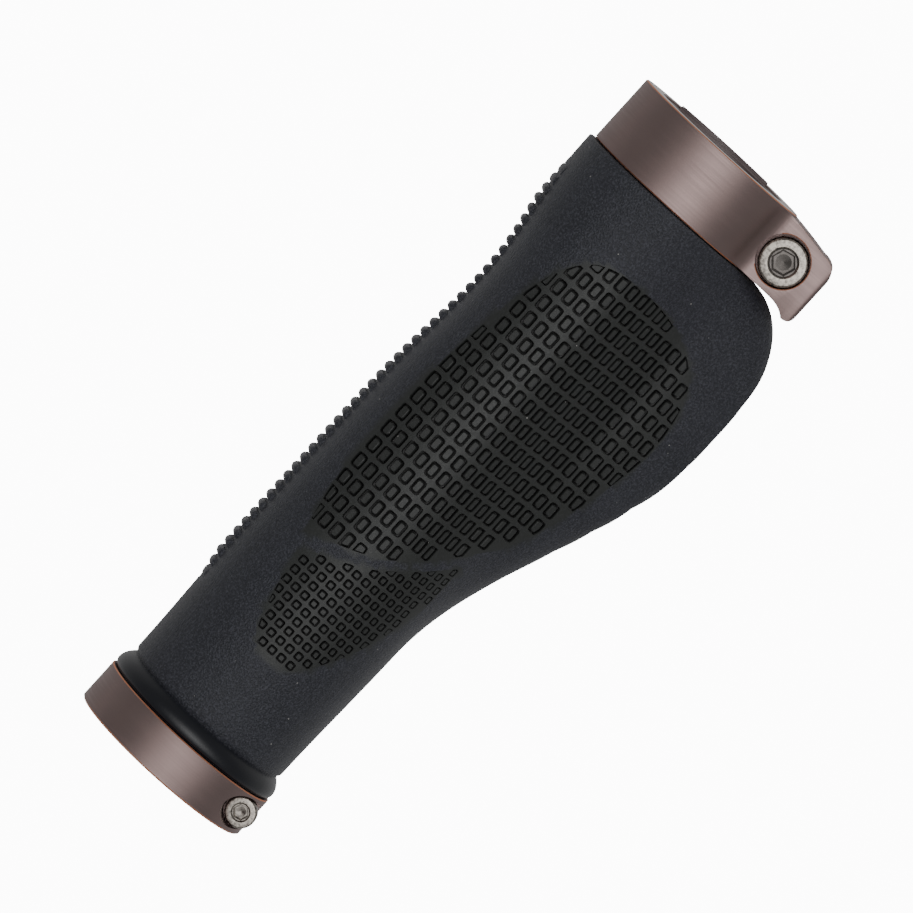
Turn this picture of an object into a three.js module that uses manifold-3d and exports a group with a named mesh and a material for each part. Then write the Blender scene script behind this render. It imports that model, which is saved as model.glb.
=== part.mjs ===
// Right-hand bicycle handlebar grip with a palm wing, clamped to the bar at both ends.
// Millimetres. +X runs along the bar from the inboard face to the outboard end, +Z is up,
// and the palm wing points to -Y, towards the rider.
import * as THREE from 'three';
import { mergeVertices } from 'three/addons/utils/BufferGeometryUtils.js';
import Module from 'manifold-3d';

// Fits
const SEAT_GAP = 0.3;            // between two pieces that sit against each other
const BOLT_GAP = 0.15;           // round a bolt in its hole
const CUT_OVER = 1.0;            // how far a cutting tool runs past what it cuts
const SEAM_LAP = 0.05;           // how far a joined patch reaches under its neighbour
const ROUND_SEGMENTS = 40;       // facets round every turned piece
const CURVE_SEGMENTS = 8;        // facets along each curve of a drawn outline

// Bar and core sleeve
const BORE_RADIUS = 11.15;       // slides over a 22.2 mm bar
const SLEEVE_WALL = 1.55;
const SLEEVE_INSET = 0.3;        // sleeve ends sit this far inside the clamp faces
const SLOT_WIDTH = 1.4;          // saw slots that let the sleeve's ends close on the bar
const SLOT_ANGLE = 52;           // degrees from straight down and from straight up
const TONGUE_PROUD = 0.45;       // the lower outboard finger stands out of the end face

// Rubber body
const BODY_LENGTH = 117.5;
const RUBBER_WALL = 3.0;
const BEAD_WIDTH = 3.5;          // rounded lip beside the inboard ring
const BEAD_CREST = 0.8;          // from the lip's inboard face to its crest
const BEAD_BELOW_RING = 0.1;
const BEAD_EDGE_ROUND = 0.8;
const NECK_DEPTH = 0.45;         // groove behind the lip
const NECK_WIDTH = 0.9;
const BELLY = 0.6;               // the barrel is this much fuller away from the lip
const BELLY_LENGTH = 30;
const END_LIP = 0.1;             // the outboard end stands this far proud of the clamp
const FLARE_LENGTH = 25;         // outboard stretch over which the barrel swells to the clamp
const FLARE_END = 7;             // straight stretch after the swelling
const FINGER_FLARE = 0.85;       // extra swelling on the finger side
const WAIST_DEPTH = 1.45;        // hollow for the little finger
const WAIST_FROM_END = 29.5;
const WAIST_SPREAD = 15.5;

// Palm wing
const WING_OVERHANG = 15.2;      // how far the wing reaches past the barrel
const WING_RISE = 59.4;          // length over which it grows
const WING_CREST = 3.6;          // length at full width
const WING_TAIL = 23.1;          // length of its rounded outboard end
const WING_TAIL_POWER = 2.35;    // 2 is an ellipse, more is squarer

// Palm pattern: small blocks, each in its own groove, in two leaf-shaped fields
const GROOVE_DEPTH = 0.5;
const PATCH_DEPTH = 1.2;
const POCKET_DEPTH = 0.9;
const FIELD_MARGIN = 0.45;       // plain rubber made together with a field, round its edge
const COARSE_PITCH = [3.6, 2.5];
const COARSE_BLOCK = [2.5, 1.6];
const COARSE_FIRST_COLUMN = 80.74; // from the body's outboard end to the first column's edge
const COARSE_FIRST_ROW = -10.7;    // first row's finger side edge, from the bar's axis
const FINE_PITCH = [2.053, 2.04];
const FINE_BLOCK = [1.15, 1.1];
const FINE_FIRST_COLUMN = 100.07;
const FINE_FIRST_ROW = -8.25;
const FINE_ROWS_AT = 70;           // the fine rows are spaced out this far from the end
const GROOVE_FLOOR = 0.4;          // the floor's place, as a share of the way across the groove
const BLOCK_SHARE = 0.7;           // most of a cut cell that its block may take

// Finger ribs
const RIB_PITCH = 2.066;
const RIB_WIDTH = 1.65;
const RIB_HEIGHT = 0.9;
const RIBS_FROM_BEAD = 17.85;
const RIBS_FROM_END = 7.2;
const RIB_LOWEST = 0.3;          // height of the first and the last rib, as a share
const RIB_FADE_IN = 3.6;         // the ribs grow to full height over this length
const RIB_FADE_OUT = 6.2;        // and sink into the flare over this one
const RIB_TOP = 0.5;             // where the ribs start, in points of the section from the finger side
const RIB_LOW = -1.75;           // and where they end, underneath
const RIB_DEPTH = 1.0;           // of the rubber under the ribs that is made with them
const RIB_POCKET = 0.8;          // the pocket they are set in, as a share of that depth
const RIB_STEPS = 3;             // facets round the bar
const RIB_POCKET_STEPS = 10;     // facets along it
const RIB_OUTLINE = [[-0.5, 0], [-0.26, 1], [0.26, 1], [0.5, 0]]; // across a rib: place, height

// Inboard clamp ring and its bolt
const RING_WIDTH = 7.7;
const RING_WALL = 4.3;
const RING_SLIT = 1.2;
const RING_BOLT_INSET = 2.15;    // bolt axis outside the ring's bore
const RING_BOLT_ALONG = 4.05;    // bolt axis from the inboard face
const RING_SEAT_HEIGHT = 4.2;    // floor of the bolt's pocket above the bar's axis
const RING_BOLT = { shank: 1.5, length: 8, head: 2.75, headHeight: 3, socket: 2.5, socketDepth: 1.4 };

// Outboard clamp and its bolt
const CLAMP_WIDTH = 12.65;
const CLAMP_WALL = 3.8;
const CLAMP_SLIT = 1.6;
const CLAMP_BOLT_OUTSIDE = 3.1;  // bolt axis outside the clamp's barrel
const CLAMP_BOLT_ALONG = 5.75;   // bolt axis from the clamp's inboard face
const LUG_WALL = 3.1;            // beyond the bolt's pocket
const LUG_HALF_HEIGHT = 8;
const LUG_ROOT_ANGLE = 40;       // degrees round the barrel to where the lug leaves it
const LUG_EDGE_ROUND = 0.8;
const LUG_FOOT = 1.4;            // the lug's toe reaches this far inboard
const LUG_FOOT_RISE = 5.8;       // from the lug's outer side to where the toe starts
const LUG_TOE_ROUND = 1.8;
const LUG_SWEEP = 1.7;           // the lug's outboard side draws in by this much
const LUG_HEEL_ROUND = 3.4;
const CLAMP_SEAT_HEIGHT = 2.9;
const CLAMP_BOLT = { shank: 2.5, length: 10, head: 4.25, headHeight: 5, socket: 4, socketDepth: 2.5 };
const POCKET_CLEARANCE = 0.35;   // round a bolt head

const EDGE_CHAMFER = 0.35;       // on the metal clamps
const BOLT_CHAMFER = 0.35;

// Places and radii that follow from the sizes
const sleeveRadius = BORE_RADIUS + SLEEVE_WALL;
const outerBore = sleeveRadius + SEAT_GAP;
const barrelRadius = outerBore + RUBBER_WALL;
const ringRadius = outerBore + RING_WALL;
const clampRadius = outerBore + CLAMP_WALL;
const bodyStart = RING_WIDTH + SEAT_GAP;
const beadCrest = bodyStart + BEAD_CREST;
const beadEnd = bodyStart + BEAD_WIDTH;
const neckEnd = beadEnd + NECK_WIDTH;
const bodyEnd = bodyStart + BODY_LENGTH;
const clampStart = bodyEnd + SEAT_GAP;
const clampEnd = clampStart + CLAMP_WIDTH;
const wingCrest = bodyEnd - WING_TAIL;
const wingFull = wingCrest - WING_CREST;
const wingStart = wingFull - WING_RISE;
const ringBoltOut = outerBore + RING_BOLT_INSET;
const clampBoltOut = clampRadius + CLAMP_BOLT_OUTSIDE;
const lugReach = clampBoltOut + CLAMP_BOLT.head + POCKET_CLEARANCE + LUG_WALL;

// The grip's section, point by point round the bar from the finger side over the top:
// the angle on the plain barrel, then how far the full wing moves that point outwards
// and upwards, as shares of the wing's overhang
const SECTION = [
  [180, 0, 0], [150, 0, 0.05], [122, 0, 0.04], [100, 0, 0], [81, 0, -0.02],
  [62.5, 0, -0.083], [44, 0, -0.128], [29, 0.147, -0.128], [17, 0.365, -0.037],
  [6, 0.743, -0.043], [-5, 1, -0.077], [-17, 0.853, -0.064], [-31, 0.468, 0.04],
  [-50, 0.173, 0.12], [-70, 0.03, 0.03], [-93, 0, 0], [-122, 0, 0], [-151, 0, 0],
];
const TIP_ANGLE = 5;
const FACETS_PER_POINT = 1.5;      // of the built section
const SAMPLES_PER_POINT = 8;       // of the section when its height is looked up
const ROW_SAMPLES_PER_POINT = 40;  // and when the pattern's rows are laid out on it
const TOP_POINTS = 10.5;           // points from the finger side to just past the wing's tip
const TOP_REACH = 0.97;            // share of the wing's reach where its top still has a height
const ROW_REACH = 0.9;             // and where the pattern's rows stop

// Places along the bar where the outline is taken: degrees round the lip's inboard edge,
// shares of the lip's fall to the neck, steps before the wing and along its rise, and
// degrees round the wing's rounded end
const LIP_TURNS = [0, 45, 90];
const LIP_FALL = [0.4, 0.75, 1];
const PLAIN_STEPS = 3;
const RISE_STEPS = 10;
const TAIL_TURNS = [0, 13, 26, 39, 51, 61, 69, 76, 82, 87];

// A pattern cell on a field's edge is tried at a lattice of places, as shares of the cell.
// With too few of them inside the field it is left plain, with nearly all it stays whole.
const CELL_TRIES = [0.08, 0.29, 0.5, 0.71, 0.92];
const FEWEST_INSIDE = 12;
const WHOLE_INSIDE = 22;

// The two leaf-shaped fields in plan. Each point is the distance inboard of the body's
// outboard end, and the share of the way from the bar's axis to the edge of the grip,
// positive towards the wing.
const COARSE_LEAF = {
  edge: [
    [79.1, -0.503], [69.4, -0.62], [57.4, -0.666], [44.5, -0.65], [30.4, -0.587], [19.9, -0.393],
    [14.2, -0.112], [12.6, 0.185], [14.1, 0.467], [19.5, 0.699], [29.7, 0.791], [40.7, 0.809],
    [53.7, 0.813], [59.3, 0.781], [62.5, 0.723],
  ],
  diagonal: [[65.3, 0.651], [69.6, 0.493], [73.2, 0.278], [75.6, 0.028], [77.8, -0.315]],
};
const FINE_LEAF = {
  edge: [
    [66.9, 0.738], [74.7, 0.82], [81.7, 0.804], [89.5, 0.656], [95.3, 0.458], [98, 0.3],
    [98.6, 0.083], [97.2, -0.152], [91.2, -0.303], [82.3, -0.424],
  ],
  diagonal: [[80.8, -0.315], [78.1, 0.029], [75.9, 0.258], [73, 0.455], [69.9, 0.618]],
};

const wasm = await Module();
wasm.setup();

const radians = THREE.MathUtils.degToRad;
const smooth = (from, to, value) => THREE.MathUtils.smoothstep(value, from, to);

// A three.js geometry as a solid that can be joined and cut
function toSolid(geometry) {
  const bare = geometry.clone();
  bare.deleteAttribute('normal');
  bare.deleteAttribute('uv');
  const merged = mergeVertices(bare, 1e-4);
  return new wasm.Manifold(new wasm.Mesh({
    numProp: 3,
    vertProperties: new Float32Array(merged.attributes.position.array),
    triVerts: new Uint32Array(merged.index.array),
  }));
}

// A solid back as a three.js geometry
function toGeometry(solid) {
  const mesh = solid.getMesh();
  const geometry = new THREE.BufferGeometry();
  geometry.setAttribute('position', new THREE.BufferAttribute(mesh.vertProperties, 3));
  geometry.setIndex(new THREE.BufferAttribute(mesh.triVerts, 1));
  geometry.computeVertexNormals();
  return geometry;
}

// A geometry from points and four-sided faces, each listed counter-clockwise from outside
function fromQuads(points, quads) {
  const geometry = new THREE.BufferGeometry();
  geometry.setAttribute('position', new THREE.Float32BufferAttribute(points.flat(), 3));
  geometry.setIndex(quads.flatMap(([a, b, c, d]) => [a, b, c, a, c, d]));
  return geometry;
}

// A solid through a row of closed loops, with a fan of triangles over each end
function loft(loops) {
  const count = loops[0].length;
  const points = loops.flat();
  const quads = [];
  for (let k = 0; k < loops.length - 1; k += 1) {
    for (let j = 0; j < count; j += 1) {
      const next = (j + 1) % count;
      quads.push([k * count + j, k * count + next, (k + 1) * count + next, (k + 1) * count + j]);
    }
  }
  const geometry = fromQuads(points, quads);
  const index = Array.from(geometry.index.array);
  const last = (loops.length - 1) * count;
  for (let j = 1; j < count - 1; j += 1) {
    index.push(0, j + 1, j);
    index.push(last, last + j, last + j + 1);
  }
  geometry.setIndex(index);
  return toSolid(geometry);
}

// A turned solid about the bar's axis, from a closed profile of [radius, x] points
function turned(profile) {
  const points = profile.map(([radius, x]) => new THREE.Vector2(radius, x));
  points.push(points[0].clone());
  const geometry = new THREE.LatheGeometry(points, ROUND_SEGMENTS);
  geometry.rotateZ(-Math.PI / 2);
  return toSolid(geometry);
}

// A ring with chamfered edges about the bar's axis
function chamferedRing(inner, outer, from, to) {
  const c = EDGE_CHAMFER;
  return turned([
    [inner, from + c], [inner + c, from], [outer - c, from], [outer, from + c],
    [outer, to - c], [outer - c, to], [inner + c, to], [inner, to - c],
  ]);
}

// An upright cylinder at a place in plan, between two heights
function upright(radius, x, y, low, high) {
  const geometry = new THREE.CylinderGeometry(radius, radius, high - low, ROUND_SEGMENTS / 2);
  geometry.rotateX(Math.PI / 2);
  geometry.translate(x, y, (low + high) / 2);
  return toSolid(geometry);
}

// A box between two corners
function block(low, high) {
  const size = high.map((value, axis) => value - low[axis]);
  const geometry = new THREE.BoxGeometry(...size);
  geometry.translate(...low.map((value, axis) => value + size[axis] / 2));
  return toSolid(geometry);
}

// A plan outline raised to a solid between two heights
function raised(shape, low, high) {
  const geometry = new THREE.ExtrudeGeometry(shape, {
    depth: high - low, bevelEnabled: false, curveSegments: CURVE_SEGMENTS,
  });
  geometry.translate(0, 0, low);
  return toSolid(geometry);
}

// How much of the wing there is at a place along the bar, from 0 to 1
function wingShare(x) {
  if (x <= wingCrest) return smooth(wingStart, wingFull, x);
  const tail = Math.min((x - wingCrest) / WING_TAIL, 1);
  return (1 - tail ** WING_TAIL_POWER) ** (1 / WING_TAIL_POWER);
}

// The barrel's radius along the bar: lip, neck, slight belly, then the flare
function barrelAt(x) {
  const crest = ringRadius - BEAD_BELOW_RING;
  const neck = barrelRadius - NECK_DEPTH;
  if (x < beadCrest) {
    const before = Math.min((beadCrest - x) / BEAD_CREST, 1);
    return crest - BEAD_EDGE_ROUND * (1 - Math.sqrt(1 - before * before));
  }
  if (x < beadEnd) return crest - (crest - neck) * ((x - beadCrest) / (beadEnd - beadCrest)) ** 2;
  const rise = NECK_DEPTH * smooth(beadEnd, beadEnd + NECK_WIDTH, x);
  const belly = BELLY * smooth(beadEnd, beadEnd + BELLY_LENGTH, x);
  const flare = clampRadius + END_LIP - barrelRadius - BELLY;
  return neck + rise + belly + flare * flareShare(x);
}

function flareShare(x) {
  return smooth(bodyEnd - FLARE_LENGTH, bodyEnd - FLARE_END, x);
}

// Reach of the finger side and of the wing side from the bar's axis
function fingerReach(x) {
  const offset = (x - (bodyEnd - WAIST_FROM_END)) / WAIST_SPREAD;
  return barrelAt(x) - WAIST_DEPTH * Math.exp(-offset * offset) + FINGER_FLARE * flareShare(x);
}

function wingReach(x) {
  return barrelAt(x) * Math.cos(radians(TIP_ANGLE)) + WING_OVERHANG * wingShare(x);
}

// The outline of the grip across the bar at x, as a closed curve that starts at the
// finger side and runs over the top to the wing
function sectionAt(x) {
  const radius = barrelAt(x);
  const wing = WING_OVERHANG * wingShare(x);
  const points = SECTION.map(([angle, out, up]) => {
    const across = Math.cos(radians(angle));
    const side = across < 0 ? fingerReach(x) : radius;
    const height = radius * Math.sin(radians(angle)) + wing * up;
    return new THREE.Vector3(x, -(side * across + wing * out), height);
  });
  return new THREE.CatmullRomCurve3(points, true);
}

// The height of the grip's top at a plan position, from a cached outline
const outlineCache = new Map();
function topAt(x, y) {
  if (!outlineCache.has(x)) {
    const all = sectionAt(x).getPoints(SECTION.length * SAMPLES_PER_POINT);
    outlineCache.set(x, all.slice(0, Math.ceil(TOP_POINTS * SAMPLES_PER_POINT)));
  }
  const outline = outlineCache.get(x);
  const limit = Math.max(y, -TOP_REACH * wingReach(x));
  const next = outline.findIndex((point) => point.y <= limit);
  const a = outline[Math.max(next - 1, 0)];
  const b = outline[Math.max(next, 1)];
  return THREE.MathUtils.mapLinear(limit, a.y, b.y, a.z, b.z);
}

// Places along the bar where the body's outline is taken
function bodyStations() {
  const stations = LIP_TURNS.map((turn) => beadCrest - BEAD_CREST * Math.cos(radians(turn)));
  stations.push(...LIP_FALL.map((share) => THREE.MathUtils.lerp(beadCrest, beadEnd, share)));
  stations.push((beadEnd + neckEnd) / 2, neckEnd);
  const riseFrom = Math.max(wingStart, neckEnd + NECK_WIDTH);
  for (const [from, to, steps] of [[neckEnd, riseFrom, PLAIN_STEPS], [riseFrom, wingFull, RISE_STEPS]]) {
    for (let k = 1; k <= steps; k += 1) stations.push(from + (to - from) * k / steps);
  }
  stations.push(...TAIL_TURNS.map((turn) => wingCrest + WING_TAIL * Math.sin(radians(turn))), bodyEnd);
  return stations;
}

function smoothBody() {
  const loops = bodyStations().map((x) => {
    const ring = sectionAt(x).getPoints(SECTION.length * FACETS_PER_POINT).slice(0, -1);
    return ring.map((point) => point.toArray());
  });
  return loft(loops);
}

// A leaf outline in plan, as a closed row of points
function leafOutline(leaf) {
  const place = ([back, across]) => {
    const x = Math.max(bodyEnd - back, neckEnd + NECK_WIDTH);
    const reach = across < 0 ? fingerReach(x) : wingReach(x);
    return new THREE.Vector2(x, -across * reach);
  };
  const edge = leaf.edge.map(place);
  const shape = new THREE.Shape();
  shape.moveTo(edge[0].x, edge[0].y);
  shape.splineThru(edge.slice(1));
  shape.splineThru([...leaf.diagonal.map(place), edge[0]]);
  return shape.getPoints(1).slice(0, -1);
}

// An outline moved outwards, point by point, square to its own run
function widened(outline, amount) {
  const count = outline.length;
  const turn = THREE.ShapeUtils.isClockWise(outline) ? 1 : -1;
  return outline.map((point, k) => {
    const along = outline[(k + 1) % count].clone().sub(outline[(k + count - 1) % count]).normalize();
    return new THREE.Vector2(point.x - turn * along.y * amount, point.y + turn * along.x * amount);
  });
}

function isInside(outline, x, y) {
  let inside = false;
  outline.forEach((a, k) => {
    const b = outline[(k + 1) % outline.length];
    const crosses = (a.y > y) !== (b.y > y);
    if (crosses && x < THREE.MathUtils.mapLinear(y, a.y, b.y, a.x, b.x)) inside = !inside;
  });
  return inside;
}

// Lines across the palm at one section: evenly spaced in plan on the finger side of the
// bar's axis, and along the surface where it falls towards the wing
function rowLines(x, firstRow, pitch) {
  const outline = sectionAt(x).getPoints(SECTION.length * ROW_SAMPLES_PER_POINT);
  const lines = [];
  let travelled = 0;
  for (let k = 1; k < outline.length; k += 1) {
    const [from, to] = [outline[k - 1], outline[k]];
    if (to.y > -firstRow) continue;
    travelled += to.y > 0 ? from.y - to.y : from.distanceTo(to);
    if (lines.length === 0 || travelled >= pitch) {
      travelled = lines.length === 0 ? 0 : travelled - pitch;
      lines.push(to.y);
    }
    if (to.y < -ROW_REACH * wingReach(x)) break;
  }
  return lines.reverse();
}

// A slab between two lattices of the same size, with its own faces on top where given
function slabBetween(points, upper, lower, topFaces) {
  const quads = [];
  const lastX = upper.length - 1;
  const lastY = upper[0].length - 1;
  for (let i = 0; i < lastX; i += 1) {
    for (let j = 0; j < lastY; j += 1) {
      const edge = [upper[i][j], upper[i + 1][j], upper[i + 1][j + 1], upper[i][j + 1]];
      quads.push(...(topFaces ? topFaces(i, j, edge) : [edge]));
      quads.push([lower[i][j], lower[i][j + 1], lower[i + 1][j + 1], lower[i + 1][j]]);
    }
    quads.push([lower[i][0], lower[i + 1][0], upper[i + 1][0], upper[i][0]]);
    quads.push([lower[i + 1][lastY], lower[i][lastY], upper[i][lastY], upper[i + 1][lastY]]);
  }
  for (let j = 0; j < lastY; j += 1) {
    quads.push([lower[0][j + 1], lower[0][j], upper[0][j], upper[0][j + 1]]);
    quads.push([lower[lastX][j], lower[lastX][j + 1], upper[lastX][j + 1], upper[lastX][j]]);
  }
  return toSolid(fromQuads(points, quads));
}

// A plain slab that follows the grip's top between two heights from it
function topSlab(columns, rows, rise, drop) {
  const points = [];
  const add = (x, y, lift) => points.push([x, y, topAt(x, y) + lift]) - 1;
  const upper = columns.map((x) => rows.map((y) => add(x, y, rise)));
  const lower = columns.map((x) => rows.map((y) => add(x, y, -drop)));
  return slabBetween(points, upper, lower);
}

// The part of a cell that lies inside an outline, as a smaller cell, or nothing
function trimmed([x0, y0, x1, y1], outline) {
  const hits = [];
  for (const a of CELL_TRIES) {
    for (const b of CELL_TRIES) {
      const [x, y] = [THREE.MathUtils.lerp(x0, x1, a), THREE.MathUtils.lerp(y0, y1, b)];
      if (isInside(outline, x, y)) hits.push([a, b]);
    }
  }
  if (hits.length < FEWEST_INSIDE) return null;
  if (hits.length >= WHOLE_INSIDE) return [x0, y0, x1, y1];
  const [low, high] = [0, 1].map((axis) => hits.map((hit) => hit[axis])).map((side) => [
    Math.min(...side), Math.max(...side),
  ]);
  return [
    THREE.MathUtils.lerp(x0, x1, low[0]), THREE.MathUtils.lerp(y0, y1, high[0]),
    THREE.MathUtils.lerp(x0, x1, low[1]), THREE.MathUtils.lerp(y0, y1, high[1]),
  ];
}

// A slab that lies in the grip's top, with one block and its groove in each cell of a leaf
function patternSlab(columns, rows, outline, blockSize) {
  const points = [];
  const add = (x, y, depth) => points.push([x, y, topAt(x, y) - depth]) - 1;
  const upper = columns.map((x) => rows.map((y) => add(x, y, 0)));
  const lower = columns.map((x) => rows.map((y) => add(x, y, PATCH_DEPTH)));
  return slabBetween(points, upper, lower, (i, j, edge) => {
    const cell = trimmed([columns[i], rows[j], columns[i + 1], rows[j + 1]], outline);
    return cell ? cellFaces(cell, edge, blockSize, add) : [edge];
  });
}

// One cell's upper faces: down into the groove, up to the block, and the block's top
function cellFaces([x0, y0, x1, y1], edge, blockSize, add) {
  const centre = [(x0 + x1) / 2, (y0 + y1) / 2];
  const outer = [(x1 - x0) / 2, (y1 - y0) / 2];
  const inner = outer.map((half, axis) => Math.min(blockSize[axis] / 2, half * BLOCK_SHARE));
  const ring = (share, depth) => [[-1, -1], [1, -1], [1, 1], [-1, 1]].map(([sx, sy]) => add(
    centre[0] + sx * THREE.MathUtils.lerp(inner[0], outer[0], share),
    centre[1] + sy * THREE.MathUtils.lerp(inner[1], outer[1], share),
    depth,
  ));
  const groove = ring(GROOVE_FLOOR, GROOVE_DEPTH);
  const top = ring(0, 0);
  const faces = [top];
  for (let k = 0; k < 4; k += 1) {
    const n = (k + 1) % 4;
    faces.push([edge[k], edge[n], groove[n], groove[k]]);
    faces.push([groove[k], groove[n], top[n], top[k]]);
  }
  return faces;
}

// Cuts one leaf-shaped field into the body and fills it with its pattern
function withField(body, { leaf, pitch, blockSize, firstColumn, firstRow, rowsAt }) {
  const outline = leafOutline(leaf);
  const prism = (grow) => {
    const shape = new THREE.Shape(widened(outline, grow));
    return raised(shape, -2 * barrelRadius, 2 * barrelRadius);
  };
  const start = Math.max(bodyEnd - firstColumn, neckEnd);
  const end = Math.max(...outline.map((point) => point.x)) + pitch[0];
  const columns = [];
  for (let x = start; x < end + pitch[0]; x += pitch[0]) columns.push(x);
  const rows = rowLines(rowsAt, firstRow, pitch[1]);
  const pocket = topSlab(columns, rows, barrelRadius, POCKET_DEPTH).intersect(prism(FIELD_MARGIN));
  const field = patternSlab(columns, rows, outline, blockSize);
  return body.subtract(pocket).add(field.intersect(prism(FIELD_MARGIN + SEAM_LAP)));
}

// A band of the finger side, from one height over the surface to a depth under it, both
// measured square to the surface. rises gives places along the bar with their heights.
function fingerBand(rises, edgeRise, drop, lap) {
  const points = [];
  const steps = Array.from({ length: RIB_STEPS + 1 }, (_, k) => k);
  const pointSpacing = barrelRadius * radians(SECTION[0][0] - SECTION[1][0]);
  const [top, low] = [RIB_TOP + lap / pointSpacing, RIB_LOW - lap / pointSpacing];
  const row = (x, lifts) => {
    const outline = sectionAt(x);
    return lifts.map((lift, k) => {
      const parameter = (THREE.MathUtils.lerp(top, low, k / RIB_STEPS) / SECTION.length + 1) % 1;
      const out = outline.getTangent(parameter).cross(new THREE.Vector3(1, 0, 0));
      const point = outline.getPoint(parameter).addScaledVector(out, lift);
      return points.push([x, point.y, point.z]) - 1;
    });
  };
  const isEdge = (k) => k === 0 || k === RIB_STEPS;
  const upper = rises.map(([x, rise]) => row(x, steps.map((k) => (isEdge(k) ? edgeRise : rise))));
  const lower = rises.map(([x]) => row(x, steps.map(() => -drop)));
  return slabBetween(points, upper, lower);
}

// The raised ribs under the fingers, as heights along the bar
function ribHeights(first, last) {
  const grown = (distance, fade) => THREE.MathUtils.lerp(RIB_LOWEST, 1, distance / fade);
  const heights = [[first - RIB_WIDTH - SEAM_LAP, 0]];
  for (let x = first; x <= last; x += RIB_PITCH) {
    const share = Math.min(1, grown(x - first, RIB_FADE_IN), grown(last - x, RIB_FADE_OUT));
    for (const [across, height] of RIB_OUTLINE) {
      heights.push([x + across * RIB_WIDTH, height * share * RIB_HEIGHT]);
    }
  }
  heights.push([last + RIB_WIDTH + SEAM_LAP, 0]);
  return heights;
}

// Cuts a band out of the finger side and fills it with its ribs
function withRibs(body) {
  const first = beadEnd + RIBS_FROM_BEAD;
  const last = bodyEnd - RIBS_FROM_END;
  const clear = Array.from({ length: RIB_POCKET_STEPS + 1 }, (_, k) => [
    THREE.MathUtils.lerp(first - RIB_WIDTH, last + RIB_WIDTH, k / RIB_POCKET_STEPS), 2 * RIB_HEIGHT,
  ]);
  const room = fingerBand(clear, 2 * RIB_HEIGHT, RIB_DEPTH * RIB_POCKET, 0);
  return body.subtract(room).add(fingerBand(ribHeights(first, last), 0, RIB_DEPTH, SEAM_LAP));
}

function rubberGrip() {
  const coarse = {
    leaf: COARSE_LEAF, pitch: COARSE_PITCH, blockSize: COARSE_BLOCK,
    firstColumn: COARSE_FIRST_COLUMN, firstRow: COARSE_FIRST_ROW, rowsAt: wingFull,
  };
  const fine = {
    leaf: FINE_LEAF, pitch: FINE_PITCH, blockSize: FINE_BLOCK,
    firstColumn: FINE_FIRST_COLUMN, firstRow: FINE_FIRST_ROW, rowsAt: bodyEnd - FINE_ROWS_AT,
  };
  const body = withRibs(withField(withField(smoothBody(), coarse), fine));
  const bore = turned([
    [0, bodyStart - CUT_OVER], [outerBore, bodyStart - CUT_OVER],
    [outerBore, bodyEnd + CUT_OVER], [0, bodyEnd + CUT_OVER],
  ]);
  return body.subtract(bore);
}

// The hard core tube: a plain sleeve with four saw slots in each end, and a lower
// outboard finger that stands a little proud
function coreSleeve() {
  const start = SLEEVE_INSET;
  const end = clampEnd - SLEEVE_INSET;
  const tube = turned([
    [BORE_RADIUS, start], [sleeveRadius, start], [sleeveRadius, end], [BORE_RADIUS, end],
  ]);
  const longTube = turned([
    [BORE_RADIUS, end - CUT_OVER], [sleeveRadius, end - CUT_OVER],
    [sleeveRadius, clampEnd + TONGUE_PROUD], [BORE_RADIUS, clampEnd + TONGUE_PROUD],
  ]);
  const reach = 2 * sleeveRadius;
  const slotHalf = radians(SLOT_ANGLE);
  const wedge = new THREE.Shape([
    new THREE.Vector2(0, 0),
    new THREE.Vector2(-reach * Math.sin(slotHalf), -reach * Math.cos(slotHalf)),
    new THREE.Vector2(reach * Math.sin(slotHalf), -reach * Math.cos(slotHalf)),
  ]);
  const tongue = longTube.intersect(alongBar(wedge, start, clampEnd + CUT_OVER));
  let sleeve = tube.add(tongue);
  for (const side of [-1, 1]) {
    for (const angle of [SLOT_ANGLE, 180 - SLOT_ANGLE]) {
      sleeve = sleeve.subtract(slot(side * angle, -CUT_OVER, RING_WIDTH));
      sleeve = sleeve.subtract(slot(side * angle, clampStart, clampEnd + CUT_OVER));
    }
  }
  return sleeve;
}

// A shape drawn across the bar, carried along it between two places
function alongBar(shape, from, to) {
  const geometry = new THREE.ExtrudeGeometry(shape, {
    depth: to - from, bevelEnabled: false, curveSegments: CURVE_SEGMENTS,
  });
  const turn = new THREE.Matrix4().makeBasis(
    new THREE.Vector3(0, 1, 0), new THREE.Vector3(0, 0, 1), new THREE.Vector3(1, 0, 0),
  );
  geometry.applyMatrix4(turn);
  geometry.translate(from, 0, 0);
  return toSolid(geometry);
}

// One saw slot through the sleeve's wall, at an angle from straight down
function slot(angle, from, to) {
  const low = -sleeveRadius - CUT_OVER;
  const geometry = new THREE.BoxGeometry(to - from, SLOT_WIDTH, -low - BORE_RADIUS / 2);
  geometry.translate((from + to) / 2, 0, (low - BORE_RADIUS / 2) / 2);
  geometry.rotateX(radians(angle));
  return toSolid(geometry);
}

// What a clamp loses for its bolt: a slit, a through hole and a pocket for the head
function boltCuts(bolt, x, out, seat, slit, from, to) {
  const reach = lugReach + CUT_OVER;
  const hole = upright(bolt.shank + BOLT_GAP, x, -out, -reach, reach);
  const pocket = upright(bolt.head + POCKET_CLEARANCE, x, -out, seat, reach);
  const gap = block(
    [from - LUG_FOOT - CUT_OVER, -reach, -slit / 2],
    [to + CUT_OVER, -BORE_RADIUS, slit / 2],
  );
  return hole.add(pocket).add(gap);
}

function inboardClampRing() {
  const ring = chamferedRing(outerBore, ringRadius, 0, RING_WIDTH);
  return ring.subtract(boltCuts(
    RING_BOLT, RING_BOLT_ALONG, ringBoltOut, RING_SEAT_HEIGHT, RING_SLIT, 0, RING_WIDTH,
  ));
}

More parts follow.
